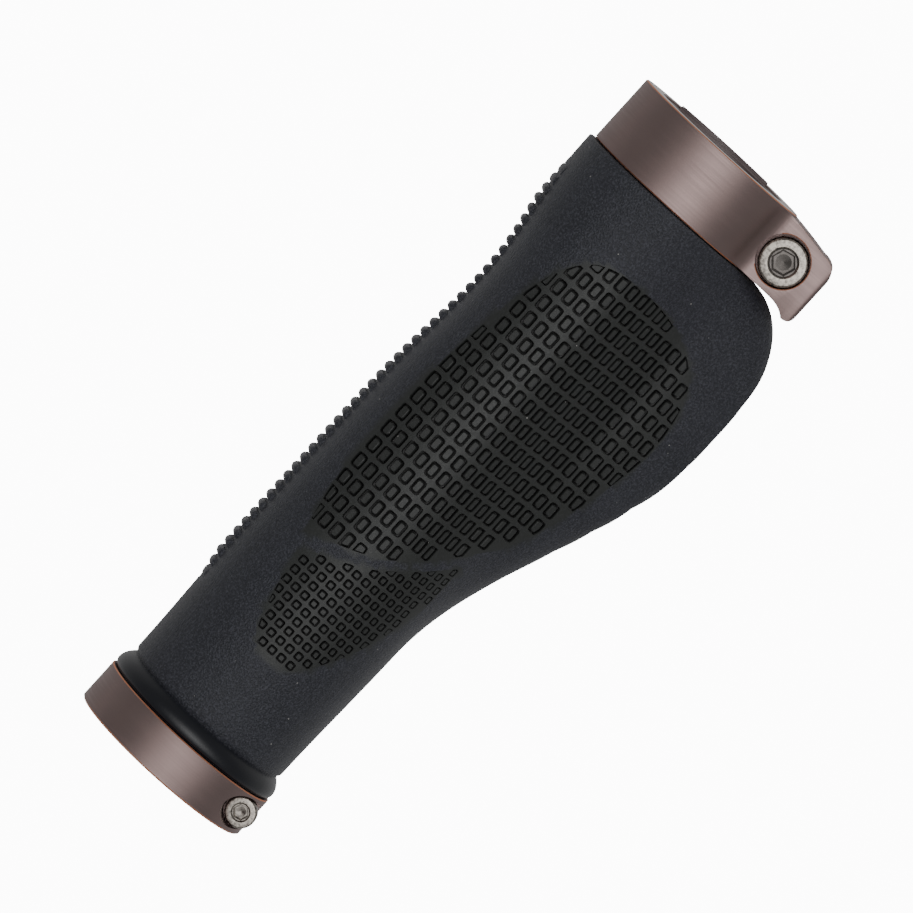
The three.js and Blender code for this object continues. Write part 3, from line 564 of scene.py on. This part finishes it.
# %% Cutting a leaf into cells
def cut_pattern(mesh, region, pitch, web, corner, first_column, first_row, rows_at, shrink):
    """Cuts a leaf into cells and webs, and steps the cells."""
    start = body_end - first_column
    rows = row_places(rows_at, first_row, pitch[1])
    columns = [start + k * pitch[0] for k in range(int(first_column / pitch[0]))]
    straight_cuts(mesh, region, 0, [c + side * web[0] / 2 for c in columns for side in (-1, 1)])
    straight_cuts(mesh, region, 1, [r + side * web[1] / 2 for r in rows for side in (-1, 1)])

    def cells():
        found = []
        for face in mesh.faces:
            if face.material_index == region:
                centre = face.calc_center_median_weighted()
                column = (centre.x - start) % pitch[0]
                row = min(abs(centre.y - r) for r in rows)
                if web[0] / 2 < column < pitch[0] - web[0] / 2 and row > web[1] / 2:
                    found.append(face)
        return found

    whole = max(face.calc_area() for face in cells())
    chosen = [f for f in cells() if f.calc_area() > SMALLEST_CELL * whole]
    for face in chosen:
        round_corners(face, corner)
    for inset, height in CELL_STEPS:
        bmesh.ops.inset_individual(mesh, faces=chosen, thickness=0)
        for face in chosen:
            ease = min(1, face.calc_area() / whole * CLIPPED_EASE)
            draw_in(face, shrink * inset * ease, height)
    return len(chosen)


for name, pattern in {"coarse": COARSE_CELLS, "fine": FINE_CELLS}.items():
    print(cut_pattern(sheet, **pattern), name, "cells;", len(sheet.faces), "faces")

# %% [markdown]
# ## The rubber body: wrapped and closed
# The points of the sheet that share one x lie on one section, so they are moved together.
# Each keeps two numbers for the finish: its lift, which finds the grooves and the block tops,
# and whether it lies in a leaf. The rims of the open tube are then drawn in to the sleeve and
# bridged through the bore, which closes the body.

# %% Wrap the sheet
MERGE = 2e-3  # points closer than this are one, in millimetres
lift_layer = sheet.verts.layers.float.new("lift")  # kept for the finish, in millimetres
field_layer = sheet.verts.layers.float.new("field")  # 1 in the two leaves
for face in sheet.faces:
    if face.material_index in (FINE, COARSE):
        for v in face.verts:
            v[field_layer] = 1
columns = {}
for v in sheet.verts:
    v[lift_layer] = v.co.z
    columns.setdefault(round(v.co.x, 3), []).append(v)
for x, verts in columns.items():
    from_end = max(END_ROUND - (body_end - x), 0)
    rounding = END_ROUND - sqrt(END_ROUND ** 2 - min(from_end, END_ROUND) ** 2)
    s = np.array([v.co.y for v in verts])
    lift = np.array([v.co.z for v in verts]) - rounding
    for v, y, z in zip(verts, *wrap_column(x, s, lift)):
        v.co = (x, y, z)
bmesh.ops.remove_doubles(sheet, verts=sheet.verts, dist=MERGE)
for face in sheet.faces:
    face.material_index = 0
print("wrapped:", len(sheet.verts), "points")

# %% End faces and bore
TOUCHING = 0.01  # millimetres


def end_ring(mesh, x):
    """The open edge at one end, drawn in to the bore's radius."""
    rim = [e for e in mesh.edges if e.is_boundary and all(
        abs(v.co.x - x) < TOUCHING for v in e.verts)]
    drawn = bmesh.ops.extrude_edge_only(mesh, edges=rim)["geom"]
    for v in (part for part in drawn if isinstance(part, bmesh.types.BMVert)):
        v.co.yz = v.co.yz * (RUBBER_BORE / v.co.yz.length)
    return [part for part in drawn if isinstance(part, bmesh.types.BMEdge) and all(
        abs(v.co.yz.length - RUBBER_BORE) < TOUCHING for v in part.verts)]


def describe(name, mesh):
    """Prints what was made. A closed mesh has no open edges."""
    open_edges = sum(edge.is_boundary for edge in mesh.edges)
    print(name, "has", len(mesh.faces), "faces and", open_edges, "open edges")


bore_edges = end_ring(sheet, body_start) + end_ring(sheet, body_end)
bmesh.ops.bridge_loops(sheet, edges=bore_edges)
bmesh.ops.recalc_face_normals(sheet, faces=sheet.faces)
describe("rubber body", sheet)

# %% [markdown]
# ## From mesh to piece
# Each finished mesh becomes an object for one construction node. It is shaded smooth, except
# where an edge turns by more than an angle. Its place is in the mesh, not in the object.

# %% Finished pieces
SHARP, SCREW_SHARP = 35, 11  # degrees; the screws' shallow sockets need the smaller angle


def finished_piece(mesh, name, node, materials, sharp=SHARP):
    data = bpy.data.meshes.new(name)
    mesh.to_mesh(data)
    mesh.free()
    data.transform(Matrix.Scale(MM, 4))
    data.shade_smooth()
    data.set_sharp_from_angle(angle=radians(sharp))
    for material in materials:
        data.materials.append(material)
    piece = add_object(name, data)
    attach(piece, "root")
    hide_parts(node)
    triangles = sum(len(face.vertices) - 2 for face in data.polygons)
    print(name, "has", triangles, "triangles")


# %% [markdown]
# ## Finishes
# Every finish is made from a few noises in real millimetres, which turn into small
# differences of colour, roughness and height, so that no surface is one flat colour.

# %% What the finishes share
RGBA = {"data_type": "RGBA"}  # makes a Mix node mix colours
WIDE, MIDDLE = dict(From_Min=0.3, From_Max=0.7), dict(From_Min=0.35, From_Max=0.65)  # of a noise

# %% [markdown]
# ## Moulded rubber
# Soft thermoplastic rubber, moulded against a fine leather grain. The eye sees a near black,
# slightly blue surface, dull on the grain, with a soft shine on the block tops and on the
# smooth lip beside the ring. The grooves are painted near black as shade, found by the lift
# that each point of the sheet keeps. The few specks of dust are the cells of a Voronoi
# pattern whose middle happens to lie in the surface.

# %% Rubber colour
LEATHER_GRAIN, LEATHER_DEPTH = 0.33 * MM, 0.3 * MM  # deeper than real, or it would not show
FIELD_DEPTH = 0.02 * MM  # of the grain in the leaves and the lip
DUST_SPACING, DUST_SIZE, DUST_CORE = 4 * MM, 0.14 * MM, 0.7
CLOUD_SIZE = 9 * MM
LIP_BLEND = 0.4  # millimetres each way
GROOVE_DEEP, GROOVE_SHALLOW, HANDLED = -0.5, -0.05, 0.5  # lifts, in millimetres
POLISHED = 0.34  # roughness where it is smooth
rubber, shader = new_material("grained thermoplastic rubber")
place = add_node(rubber, "TexCoord", "Object")
along = add_node(rubber, "SeparateXYZ", "X", Vector=place)
lip = add_node(rubber, "MapRange", Value=along, From_Min=(bead_end - LIP_BLEND) * MM,
               From_Max=(bead_end + LIP_BLEND) * MM, To_Min=1, To_Max=0)
lift, field = (add_node(rubber, "Attribute", "Fac", {"attribute_name": name})
               for name in ("lift", "field"))
# Painted shade: the deeper a point lies in a groove, the nearer black its colour.
groove_shade = add_node(rubber, "MapRange", Value=lift, From_Min=GROOVE_DEEP, From_Max=GROOVE_SHALLOW,
                  To_Min=1, To_Max=0)
handled = add_node(rubber, "MapRange", Value=lift, From_Max=HANDLED)  # polished by the hand
leather = add_node(rubber, "TexNoise", Vector=place, Scale=1 / LEATHER_GRAIN, Detail=4)
clouds = add_node(rubber, "TexNoise", Vector=place, Scale=1 / CLOUD_SIZE)
from_dust = add_node(rubber, "TexVoronoi", "Distance", Vector=place, Scale=1 / DUST_SPACING)
speck = DUST_SIZE / DUST_SPACING
dust = add_node(rubber, "MapRange", Value=from_dust, From_Min=DUST_CORE * speck, From_Max=speck,
                To_Min=0.8, To_Max=0)

colour = "#1d1f27"
for share, other in (
        (add_node(rubber, "MapRange", Value=clouds, **MIDDLE), "#23252d"),
        (add_node(rubber, "MapRange", Value=leather, From_Min=0.45, From_Max=0.75), "#484952"),
        (add_node(rubber, "MapRange", Value=field, To_Max=0.8), "#292b27"),
        (lip, "#0c0e16"), (groove_shade, "#050505"), (dust, "#b4b2ae")):
    colour = add_node(rubber, "Mix", 2, RGBA, Factor=share, i6=colour, i7=other)

# %% Rubber shine and grain
roughness = add_node(rubber, "MapRange", Value=leather, **WIDE, To_Min=0.38, To_Max=0.6)
for share in (handled, lip):
    roughness = add_node(rubber, "Mix", Factor=share, i2=roughness, i3=POLISHED)
smoother = add_node(rubber, "Math", 0, {"operation": "MAXIMUM"}, i0=lip, i1=field)
depth = add_node(rubber, "MapRange", Value=smoother, To_Min=LEATHER_DEPTH, To_Max=FIELD_DEPTH)
set_inputs(
    rubber, shader, Base_Color=colour, Roughness=roughness, Sheen_Weight=0.1, Sheen_Roughness=0.35,
    Normal=add_node(rubber, "Bump", Height=leather, Distance=depth, Strength=0.9))
finished_piece(sheet, "moulded_rubber_body", "rubber_grip", [rubber])

# %% [markdown]
# ## The clamps
# Both clamps are turned from aluminium bar, slit on one side, and counterbored for one bolt
# each. They are made here as in the workshop: a profile is spun round the bar's axis, and
# the slit, the hole and the bolt's pocket are cut out of it. The cuts cross curved faces,
# which is what a Boolean modifier is for. Faces marked 1 are the broken edges, cut again
# after anodising to a warmer colour, and painted brighter as a highlight along each edge.

# %% Turning
TURN_STEPS = 144
EDGE_BREAK = 0.18
SLOPE_FROM, SLOPE_TO = 0.4, 0.9  # a broken edge's normal along the bar


def turned(profile, angle=360, first=0, steps=TURN_STEPS):
    """A closed row of (x, radius) spun about the bar's axis. Outer slopes are marked 1."""
    mesh = bmesh.new()
    verts = [mesh.verts.new((x, 0, radius)) for x, radius in profile]
    edges = [mesh.edges.new((verts[k - 1], verts[k])) for k in range(len(verts))]
    bmesh.ops.rotate(mesh, verts=verts, matrix=Matrix.Rotation(radians(first), 3, "X"))
    full = angle == 360
    bmesh.ops.spin(mesh, geom=verts + edges, axis=(1, 0, 0), cent=(0, 0, 0),
                   angle=radians(angle), steps=steps, use_merge=full)
    if not full:
        bmesh.ops.holes_fill(mesh, edges=mesh.edges)
    bmesh.ops.recalc_face_normals(mesh, faces=mesh.faces)
    middle = sum(radius for _, radius in profile) / len(profile)
    for face in mesh.faces:
        outside = face.calc_center_median().yz.length > middle
        face.material_index = 1 if outside and SLOPE_FROM < abs(face.normal.x) < SLOPE_TO else 0
    return mesh


def ring_profile(inner, outer, start, end, edge=EDGE_BREAK, first=None):
    """A ring's section with broken edges. The outer one at its start may be wider."""
    first = first or edge
    return [
        (start + edge, inner), (start, inner + edge), (start, outer - first), (start + first, outer),
        (end - edge, outer), (end, outer - edge), (end, inner + edge), (end - edge, inner),
    ]


# %% Cutting tools
FAR = 30  # past everything, for the ends of the tools


def prism(points, axis, low, high):
    """A flat outline in the plane across an axis, extruded from low to high."""
    mesh = bmesh.new()
    verts = []
    for point in points:
        place = list(point)
        place.insert(axis, low)
        verts.append(mesh.verts.new(place))
    raised = bmesh.ops.extrude_face_region(mesh, geom=[mesh.faces.new(verts)])["geom"]
    push = Vector()
    push[axis] = high - low
    moved = [part for part in raised if isinstance(part, bmesh.types.BMVert)]
    bmesh.ops.translate(mesh, vec=push, verts=moved)
    bmesh.ops.recalc_face_normals(mesh, faces=mesh.faces)
    return mesh


def box_tool(low, high):
    corners_in_plan = [(low[0], low[1]), (high[0], low[1]), (high[0], high[1]), (low[0], high[1])]
    return prism(corners_in_plan, 2, low[2], high[2])


def upright(radius, place, low, high, top_radius=None, segments=ROUND_SIDES):
    """An upright cylinder or cone at (x, y) between two heights."""
    mesh = bmesh.new()
    bmesh.ops.create_cone(
        mesh, cap_ends=True, segments=segments, radius1=radius,
        radius2=radius if top_radius is None else top_radius, depth=high - low,
        matrix=Matrix.Translation((*place, (low + high) / 2)))
    return mesh


# %% Joining and cutting meshes
def stand_in(name, mesh):
    """A temporary object for the Boolean modifier."""
    data = bpy.data.meshes.new(name)
    mesh.to_mesh(data)
    mesh.free()
    for _ in range(2):
        data.materials.append(None)
    return add_object(name, data)


def cut(mesh, *steps):
    """Joins and cuts meshes in turn. Each step is an operation and the other mesh."""
    work = stand_in("work", mesh)
    tools = []
    for operation, other in steps:
        tools.append(stand_in("tool", other))
        modifier = work.modifiers.new(operation, "BOOLEAN")
        modifier.operation, modifier.object, modifier.solver = operation, tools[-1], "EXACT"
    bpy.context.view_layer.update()
    shaped = work.evaluated_get(bpy.context.evaluated_depsgraph_get())
    result = bmesh.new()
    result.from_mesh(shaped.to_mesh())
    for spare in (work, *tools):
        bpy.data.meshes.remove(spare.data)  # and its object with it
    return result


# %% Bolts and their pockets, as sizes
BORE_RADIUS, SLEEVE_RADIUS = 11.15, 12.7
SEAT_GAP, BOLT_GAP, HEAD_GAP = 0.3, 0.15, 0.35
# Sizes in millimetres, how far the head sits off its place, and how much painted shade darkens its
# socket.
M3 = dict(
    node="inboard_ring_screw", name="m3_socket_screw", aside=(0, 0),
    shank=1.5, head=2.75, head_height=3, across_flats=2.5, depth=1.4, socket_shade=0.4)
M5 = dict(
    node="outboard_clamp_screw", name="m5_socket_screw", aside=(-0.1, -0.2),
    shank=2.5, head=4.25, head_height=5, across_flats=4, depth=2.5, socket_shade=1)


def bolt_place(bolt):
    """The axis of a bolt in plan, and its lowest and highest point."""
    low, high = corners(bolt["node"])
    return ((low.x + high.x) / 2, (low.y + high.y) / 2), low.z, high.z


def bolt_cuts(bolt, slit, start, end):
    """What a clamp loses for its bolt: a through hole, a pocket and a slit."""
    place, _, top = bolt_place(bolt)
    seat = top - bolt["head_height"] - SEAT_GAP
    reach = bolt["head"] + HEAD_GAP
    return [
        ("DIFFERENCE", upright(bolt["shank"] + BOLT_GAP, place, -FAR, FAR)),
        ("DIFFERENCE", upright(reach, place, seat, FAR)),
        ("DIFFERENCE", box_tool((start, -FAR, -slit / 2), (end, -BORE_RADIUS, slit / 2))),
    ]


# %% Inboard clamp ring
RING_SLIT, RING_EDGE = 1.2, 0.32
PAST_END, PAST_TOE = 1, 2  # how far the slits' tools reach past the metal

ring = cut(
    turned(ring_profile(RUBBER_BORE, ring_radius, ring_low.x, ring_high.x, first=RING_EDGE)),
    *bolt_cuts(M3, RING_SLIT, ring_low.x - PAST_END, ring_high.x + PAST_END))
describe("ring", ring)

# %% Outline of the outboard clamp's lug
CLAMP_SLIT = 1.6
LUG_HALF_HEIGHT, LUG_EDGE_ROUND, LUG_ROOT_ANGLE = 8, 0.8, 40
LUG_FOOT, LUG_FOOT_RISE, LUG_TOE_ROUND, LUG_SWEEP, LUG_HEEL_ROUND = 1.4, 5.8, 1.8, 1.7, 3.4
LUG_EDGE_BREAK, POCKET_EDGE, EDGE_OVER = 0.14, 0.14, 0.02
RIM_ANGLE, RIM_OFF_BARREL, RIM_OFF_SLIT = 50, 0.5, 1  # which of the lug's edges are broken
clamp_start, clamp_end = body_end + SEAT_GAP, clamp_high.x
lug_reach = -clamp_low.y


def quadratic(start, pull, end, steps=10):
    """A row of points on a curve from start to end, drawn towards a third point."""
    start, pull, end = Vector(start), Vector(pull), Vector(end)
    row = []
    for k in range(1, steps + 1):
        t = k / steps
        row.append(tuple(start * (1 - t) ** 2 + 2 * pull * t * (1 - t) + end * t ** 2))
    return row


def lug_plan():
    """Seen from above: a toe towards the rubber, and a swept outboard side."""
    inner, outer = -RUBBER_BORE - EDGE_BREAK, -lug_reach
    toe, heel = clamp_start - LUG_FOOT, clamp_end - LUG_SWEEP
    outline = [(clamp_start + EDGE_BREAK, inner), (clamp_start, outer + LUG_FOOT_RISE)]
    outline += quadratic(outline[-1], (clamp_start, outer + LUG_TOE_ROUND + LUG_FOOT),
                         (toe, outer + LUG_TOE_ROUND))
    outline += quadratic(outline[-1], (toe, outer), (toe + LUG_TOE_ROUND, outer))
    outline.append((heel - LUG_HEEL_ROUND, outer))
    outline += quadratic(outline[-1], (heel, outer), (heel, outer + LUG_HEEL_ROUND))
    outline += quadratic(outline[-1], (clamp_end - EDGE_BREAK, -clamp_radius),
                         (clamp_end - EDGE_BREAK, inner))
    return outline


def lug_profile():
    """Seen along the bar: level top and bottom, and a hollow fillet up to the barrel."""
    angle, level = radians(LUG_ROOT_ANGLE), LUG_HALF_HEIGHT
    root = (-clamp_radius * cos(angle), clamp_radius * sin(angle))
    on_barrel = -sqrt(clamp_radius ** 2 - level ** 2)
    upper = [root] + quadratic(root, (on_barrel, level), (-clamp_radius - EDGE_BREAK, level))
    upper.append((-lug_reach + LUG_EDGE_ROUND, level))
    upper += quadratic(upper[-1], (-lug_reach, level), (-lug_reach, level - LUG_EDGE_ROUND), 5)
    return upper + [(y, -z) for y, z in reversed(upper)]


# %% Outboard clamp
lug = cut(
    prism(lug_plan(), 2, -2 * LUG_HALF_HEIGHT, 2 * LUG_HALF_HEIGHT),
    ("INTERSECT", prism(lug_profile(), 0, clamp_start - 2 * LUG_FOOT, clamp_end)))
rim = [edge for edge in lug.edges if edge.is_manifold
       and edge.calc_face_angle() > radians(RIM_ANGLE)
       and all(v.co.y < -clamp_radius - RIM_OFF_BARREL and abs(v.co.z) > RIM_OFF_SLIT
               for v in edge.verts)]
bmesh.ops.bevel(lug, geom=rim, affect="EDGES", offset=LUG_EDGE_BREAK, segments=2, profile=0.5,
                material=1, clamp_overlap=True)
pocket_radius = M5["head"] + HEAD_GAP
pocket_rim = upright(
    pocket_radius, bolt_place(M5)[0], LUG_HALF_HEIGHT - POCKET_EDGE,
    LUG_HALF_HEIGHT + EDGE_OVER, top_radius=pocket_radius + POCKET_EDGE + EDGE_OVER)
for face in pocket_rim.faces:
    face.material_index = 1
clamp = cut(
    turned(ring_profile(RUBBER_BORE, clamp_radius, clamp_start, clamp_end)),
    ("UNION", lug),
    *bolt_cuts(M5, CLAMP_SLIT, clamp_start - PAST_TOE, clamp_end + PAST_END),
    ("DIFFERENCE", pocket_rim))
describe("clamp", clamp)

# %% [markdown]
# ## Satin anodised aluminium
# The clamps are turned, lightly blasted and anodised a grey brown. The eye sees a soft sheen
# with fine marks round the bar, and a coppery line where an edge was cut again, painted bright
# as a highlight. Metal colour belongs in Base Color with Metallic at 1. The turning marks are
# a noise that changes only along the bar, used for bump and roughness.

# %% Anodised finish
TURNING_MARK, MARK_DEPTH = 0.25 * MM, 0.008 * MM  # real marks are 0.05 mm, too fine to show
BLAST_GRAIN, BLAST_DEPTH = 0.3 * MM, 0.01 * MM  # real grains are 0.05 mm as well
DYE_CLOUD, EDGE_CLOUD, EDGE_GRAIN = 6 * MM, 5 * MM, 0.4 * MM  # uneven dye, uneven cut
ROUND_THE_BAR = (1, 0.02, 0.02)  # stretches a noise to lines round the bar

anodised, shader = new_material("satin anodised aluminium")
place = add_node(anodised, "TexCoord", "Object")
lines = add_node(anodised, "Mapping", Vector=place, Scale=ROUND_THE_BAR)
marks = add_node(anodised, "TexNoise", Vector=lines, Scale=1 / TURNING_MARK, Detail=3)
grain = add_node(anodised, "TexNoise", Vector=place, Scale=1 / BLAST_GRAIN)
clouds = add_node(anodised, "TexNoise", Vector=place, Scale=1 / DYE_CLOUD)
turned_skin = add_node(anodised, "Bump", Height=marks, Distance=MARK_DEPTH, Strength=0.3)
set_inputs(
    anodised, shader, Metallic=1.0,
    Base_Color=add_node(anodised, "Mix", 2, RGBA, Factor=clouds, i6="#8c7a78", i7="#998581"),
    Roughness=add_node(anodised, "MapRange", Value=marks, **WIDE, To_Min=0.38, To_Max=0.5),
    Normal=add_node(anodised, "Bump", Height=grain, Distance=BLAST_DEPTH, Strength=0.35,
                    Normal=turned_skin))

# Painted highlight: the broken edges are a brighter copper than the anodised metal, over the warmer
# colour of the recut edge.
recut_edge_highlight, shader = new_material("recut aluminium edge with painted highlight")
place = add_node(recut_edge_highlight, "TexCoord", "Object")
clouds = add_node(recut_edge_highlight, "TexNoise", Vector=place, Scale=1 / EDGE_CLOUD, Detail=1)
grain = add_node(recut_edge_highlight, "TexNoise", Vector=place, Scale=1 / EDGE_GRAIN)
set_inputs(
    recut_edge_highlight, shader, Metallic=1.0,
    Base_Color=add_node(recut_edge_highlight, "Mix", 2, RGBA, Factor=clouds, i6="#dc8c66", i7="#f2b494"),
    Roughness=add_node(recut_edge_highlight, "MapRange", Value=grain, **WIDE, To_Min=0.45, To_Max=0.6))
print("materials:", anodised.name, "and", recut_edge_highlight.name)

# %% [markdown]
# ## Faced bare aluminium
# The clamp's outboard face was cut on the lathe after anodising, so it is bright metal with
# fine circles. The shader works out the distance from the bar's axis, and a noise that
# changes only with it draws the circles.

# %% Faced finish
FACING_MARK, FACING_DEPTH = 0.3 * MM, 0.02 * MM  # real circles are 0.1 mm apart, too fine to show
FACING_OUT = 0.95  # a faced face's normal along the bar, at least
faced, shader = new_material("faced bare aluminium")
place = add_node(faced, "TexCoord", "Object")
across = add_node(faced, "VectorMath", 0, {"operation": "MULTIPLY"}, i0=place, i1=(0, 1, 1))
radius = add_node(faced, "VectorMath", "Value", {"operation": "LENGTH"}, i0=across)
outwards = add_node(faced, "CombineXYZ", X=radius)
circles = add_node(faced, "TexNoise", Vector=outwards, Scale=1 / FACING_MARK, Detail=3)
set_inputs(
    faced, shader, Metallic=1.0,
    Base_Color=add_node(faced, "Mix", 2, RGBA, Factor=circles, i6="#d9d6d2", i7="#efedea"),
    Roughness=add_node(faced, "MapRange", Value=circles, **WIDE, To_Min=0.3, To_Max=0.45),
    Normal=add_node(faced, "Bump", Height=circles, Distance=FACING_DEPTH, Strength=0.4))
for face in clamp.faces:
    if face.normal.x > FACING_OUT and face.calc_center_median().x > clamp_end - TOUCHING:
        face.material_index = 2

# %% The finished clamps
finished_piece(ring, "turned_inboard_ring", "inboard_clamp_ring",
               [anodised, recut_edge_highlight])
finished_piece(clamp, "turned_outboard_clamp", "outboard_clamp",
               [anodised, recut_edge_highlight, faced])

# %% [markdown]
# ## The bolts
# Each clamp is closed by a stainless socket cap screw. The head is turned with a rounded
# rim, and its socket is punched: six flats that narrow a little, a bevelled mouth, and a
# shallow cone where it was drilled first. One profile is spun, and the socket is cut out.

# %% Socket cap screws
RIM_ROUND, MOUTH_BEVEL, SOCKET_TAPER = 0.17, 0.15, 0.82  # shares of the head and the socket
RIM_TURNS = (0, 20, 45, 70, 90)  # degrees
MOUTH_DRAFT, SHADED_REACH, CONE_SHARE, CONE_DEPTH = 0.98, 1.01, 0.6, 0.14  # shares of the mouth
CONE_TIP, CONE_OVER, CONE_SIDES = 0.05, 0.01, 32
THREAD_PITCH, THREAD_DEPTH = 0.16, 0.6  # shares of the shank's width, and of the pitch
WELD = 1e-4  # millimetres
HEAD_TURN = 12  # degrees, as the key left it


def cap_screw(bolt):
    place, bottom, top = bolt_place(bolt)
    under = top - bolt["head_height"]
    head, shank = bolt["head"], bolt["shank"]
    rim, pitch = RIM_ROUND * head, THREAD_PITCH * 2 * shank
    profile = [(0, bottom), (shank - pitch / 2, bottom)]
    crests = np.arange(bottom + pitch / 2, under - pitch, pitch)
    for crest in crests:
        profile += [(shank, crest), (shank - THREAD_DEPTH * pitch, crest + pitch / 2)]
    profile += [(shank, crests[-1] + pitch), (shank, under), (head - rim, under), (head, under + rim)]
    profile += [(head - rim + rim * cos(radians(turn)),
                 top - rim + rim * sin(radians(turn))) for turn in RIM_TURNS]
    mouth = bolt["across_flats"] / sqrt(3)
    floor_of_mouth = top - MOUTH_BEVEL * mouth
    profile += [(mouth * (1 + MOUTH_BEVEL), top), (mouth * MOUTH_DRAFT, floor_of_mouth)]
    profile.append((0, floor_of_mouth))
    mesh = bmesh.new()
    verts = [mesh.verts.new((radius, 0, height)) for radius, height in profile]
    edges = [mesh.edges.new((verts[k], verts[k + 1])) for k in range(len(verts) - 1)]
    bmesh.ops.spin(mesh, geom=verts + edges, axis=(0, 0, 1), cent=(0, 0, 0), angle=2 * pi,
                   steps=ROUND_SIDES, use_merge=True)
    bmesh.ops.remove_doubles(mesh, verts=mesh.verts, dist=WELD)
    bmesh.ops.recalc_face_normals(mesh, faces=mesh.faces)
    socket_floor = top - bolt["depth"]
    flats = upright(mouth * SOCKET_TAPER, (0, 0), socket_floor, top, top_radius=mouth, segments=6)
    cone = upright(CONE_TIP, (0, 0), socket_floor - CONE_DEPTH * mouth, socket_floor + CONE_OVER,
                   top_radius=mouth * CONE_SHARE, segments=CONE_SIDES)
    screw = cut(mesh, ("DIFFERENCE", flats), ("DIFFERENCE", cone))
    # Painted shade: points in the socket carry how much darker they are coloured, more on the M5 than
    # the M3.
    socket_shade_layer = screw.verts.layers.float.new("socket")  # kept for the finish
    for v in screw.verts:
        if v.co.xy.length < mouth * SHADED_REACH and v.co.z > socket_floor - mouth:
            v[socket_shade_layer] = bolt["socket_shade"]
    turn = Matrix.Rotation(radians(HEAD_TURN), 3, "Z")
    bmesh.ops.rotate(screw, verts=screw.verts, matrix=turn)
    x, y = (at + off for at, off in zip(place, bolt["aside"]))
    bmesh.ops.translate(screw, verts=screw.verts, vec=(x, y, 0))
    describe(bolt["name"], screw)
    return screw


# %% [markdown]
# ## Tumbled stainless steel
# The screws are cold formed and tumbled with small stones. The eye sees a grey, slightly
# mottled sheen with bright and dull spots. The socket is darkened with painted shade, found
# by a number that each of its points carries.

# %% Stainless finish
SPOT_SIZE, SPOT_DEPTH = 0.5 * MM, 0.03 * MM  # dents from the stones
stainless, shader = new_material("tumbled stainless steel")
place = add_node(stainless, "TexCoord", "Object")
spots = add_node(stainless, "TexNoise", Vector=place, Scale=1 / SPOT_SIZE, Detail=4)
dullness = add_node(stainless, "MapRange", Value=spots, **MIDDLE)
tumbled = add_node(stainless, "Mix", 2, RGBA, Factor=dullness, i6="#716c67", i7="#b9b2a8")
socket_shade_share = add_node(stainless, "Attribute", "Fac", {"attribute_name": "socket"})
# The socket's darker colour is painted shade.
set_inputs(
    stainless, shader, Metallic=1.0,
    Base_Color=add_node(stainless, "Mix", 2, RGBA, Factor=socket_shade_share, i6=tumbled, i7="#5d5956"),
    Roughness=add_node(stainless, "MapRange", Value=spots, **MIDDLE, To_Min=0.24, To_Max=0.36),
    Normal=add_node(stainless, "Bump", Height=spots, Distance=SPOT_DEPTH, Strength=0.4))
for bolt in (M3, M5):
    finished_piece(cap_screw(bolt), bolt["name"], bolt["node"], [stainless], SCREW_SHARP)

# %% [markdown]
# ## The core sleeve
# The rubber is moulded on a hard plastic tube. Both its ends are sawn into four fingers, so
# that the clamps can close them on the bar. It is turned like the clamps: a short arc for
# the finger that stands out of the end is joined on, and the saw slots are cut with boxes.

# %% Core sleeve
SLOT_WIDTH, SLOT_ANGLE = 1.4, 52
SLOT_INNER = 8  # the saw stops inside the bore, this far from the axis
SLEEVE_EDGE = 0.12
TONGUE_ROOT, TONGUE_STEPS = 2, 42  # how far the standing finger goes back into the tube
sleeve_low, sleeve_high = corners("core_sleeve")
sleeve_end = clamp_end - SEAT_GAP


def saw_slot(angle, start, end):
    slot = box_tool((start, -SLOT_WIDTH / 2, -FAR), (end, SLOT_WIDTH / 2, -SLOT_INNER))
    bmesh.ops.rotate(slot, verts=slot.verts, matrix=Matrix.Rotation(radians(angle), 3, "X"))
    return slot


standing = ring_profile(
    BORE_RADIUS, SLEEVE_RADIUS, sleeve_end - TONGUE_ROOT, sleeve_high.x, SLEEVE_EDGE)
tongue = turned(standing, angle=2 * SLOT_ANGLE, first=180 - SLOT_ANGLE, steps=TONGUE_STEPS)
slots = []
for turn in (SLOT_ANGLE, 180 - SLOT_ANGLE, 180 + SLOT_ANGLE, 360 - SLOT_ANGLE):
    slots.append(("DIFFERENCE", saw_slot(turn, -PAST_END, ring_high.x)))
    slots.append(("DIFFERENCE", saw_slot(turn, clamp_start, clamp_end + PAST_TOE)))
tube = turned(ring_profile(BORE_RADIUS, SLEEVE_RADIUS, sleeve_low.x, sleeve_end, SLEEVE_EDGE))
sleeve = cut(tube, ("UNION", tongue), *slots)
for face in sleeve.faces:
    face.material_index = 0
describe("sleeve", sleeve)

# %% [markdown]
# ## Glass filled nylon
# The sleeve's plastic has short glass fibres in it, and is turned and sawn. The eye sees a
# satin grey brown with fine lines round the tube, drawn like the clamps' turning marks.

# %% Sleeve finish
SAW_MARK, SAW_DEPTH = 0.3 * MM, 0.03 * MM  # real marks are 0.1 mm, too fine to show
ROUND_THE_TUBE = (1, 0.03, 0.03)
nylon, shader = new_material("glass filled nylon")
place = add_node(nylon, "TexCoord", "Object")
around = add_node(nylon, "Mapping", Vector=place, Scale=ROUND_THE_TUBE)
lines = add_node(nylon, "TexNoise", Vector=around, Scale=1 / SAW_MARK, Detail=3)
share = add_node(nylon, "MapRange", Value=lines, **MIDDLE)
set_inputs(
    nylon, shader,
    Base_Color=add_node(nylon, "Mix", 2, RGBA, Factor=share, i6="#6a5d5d", i7="#8f8282"),
    Roughness=add_node(nylon, "MapRange", Value=lines, **WIDE, To_Min=0.35, To_Max=0.5),
    Normal=add_node(nylon, "Bump", Height=lines, Distance=SAW_DEPTH, Strength=0.4))
finished_piece(sleeve, "nylon_core_sleeve", "core_sleeve", [nylon])
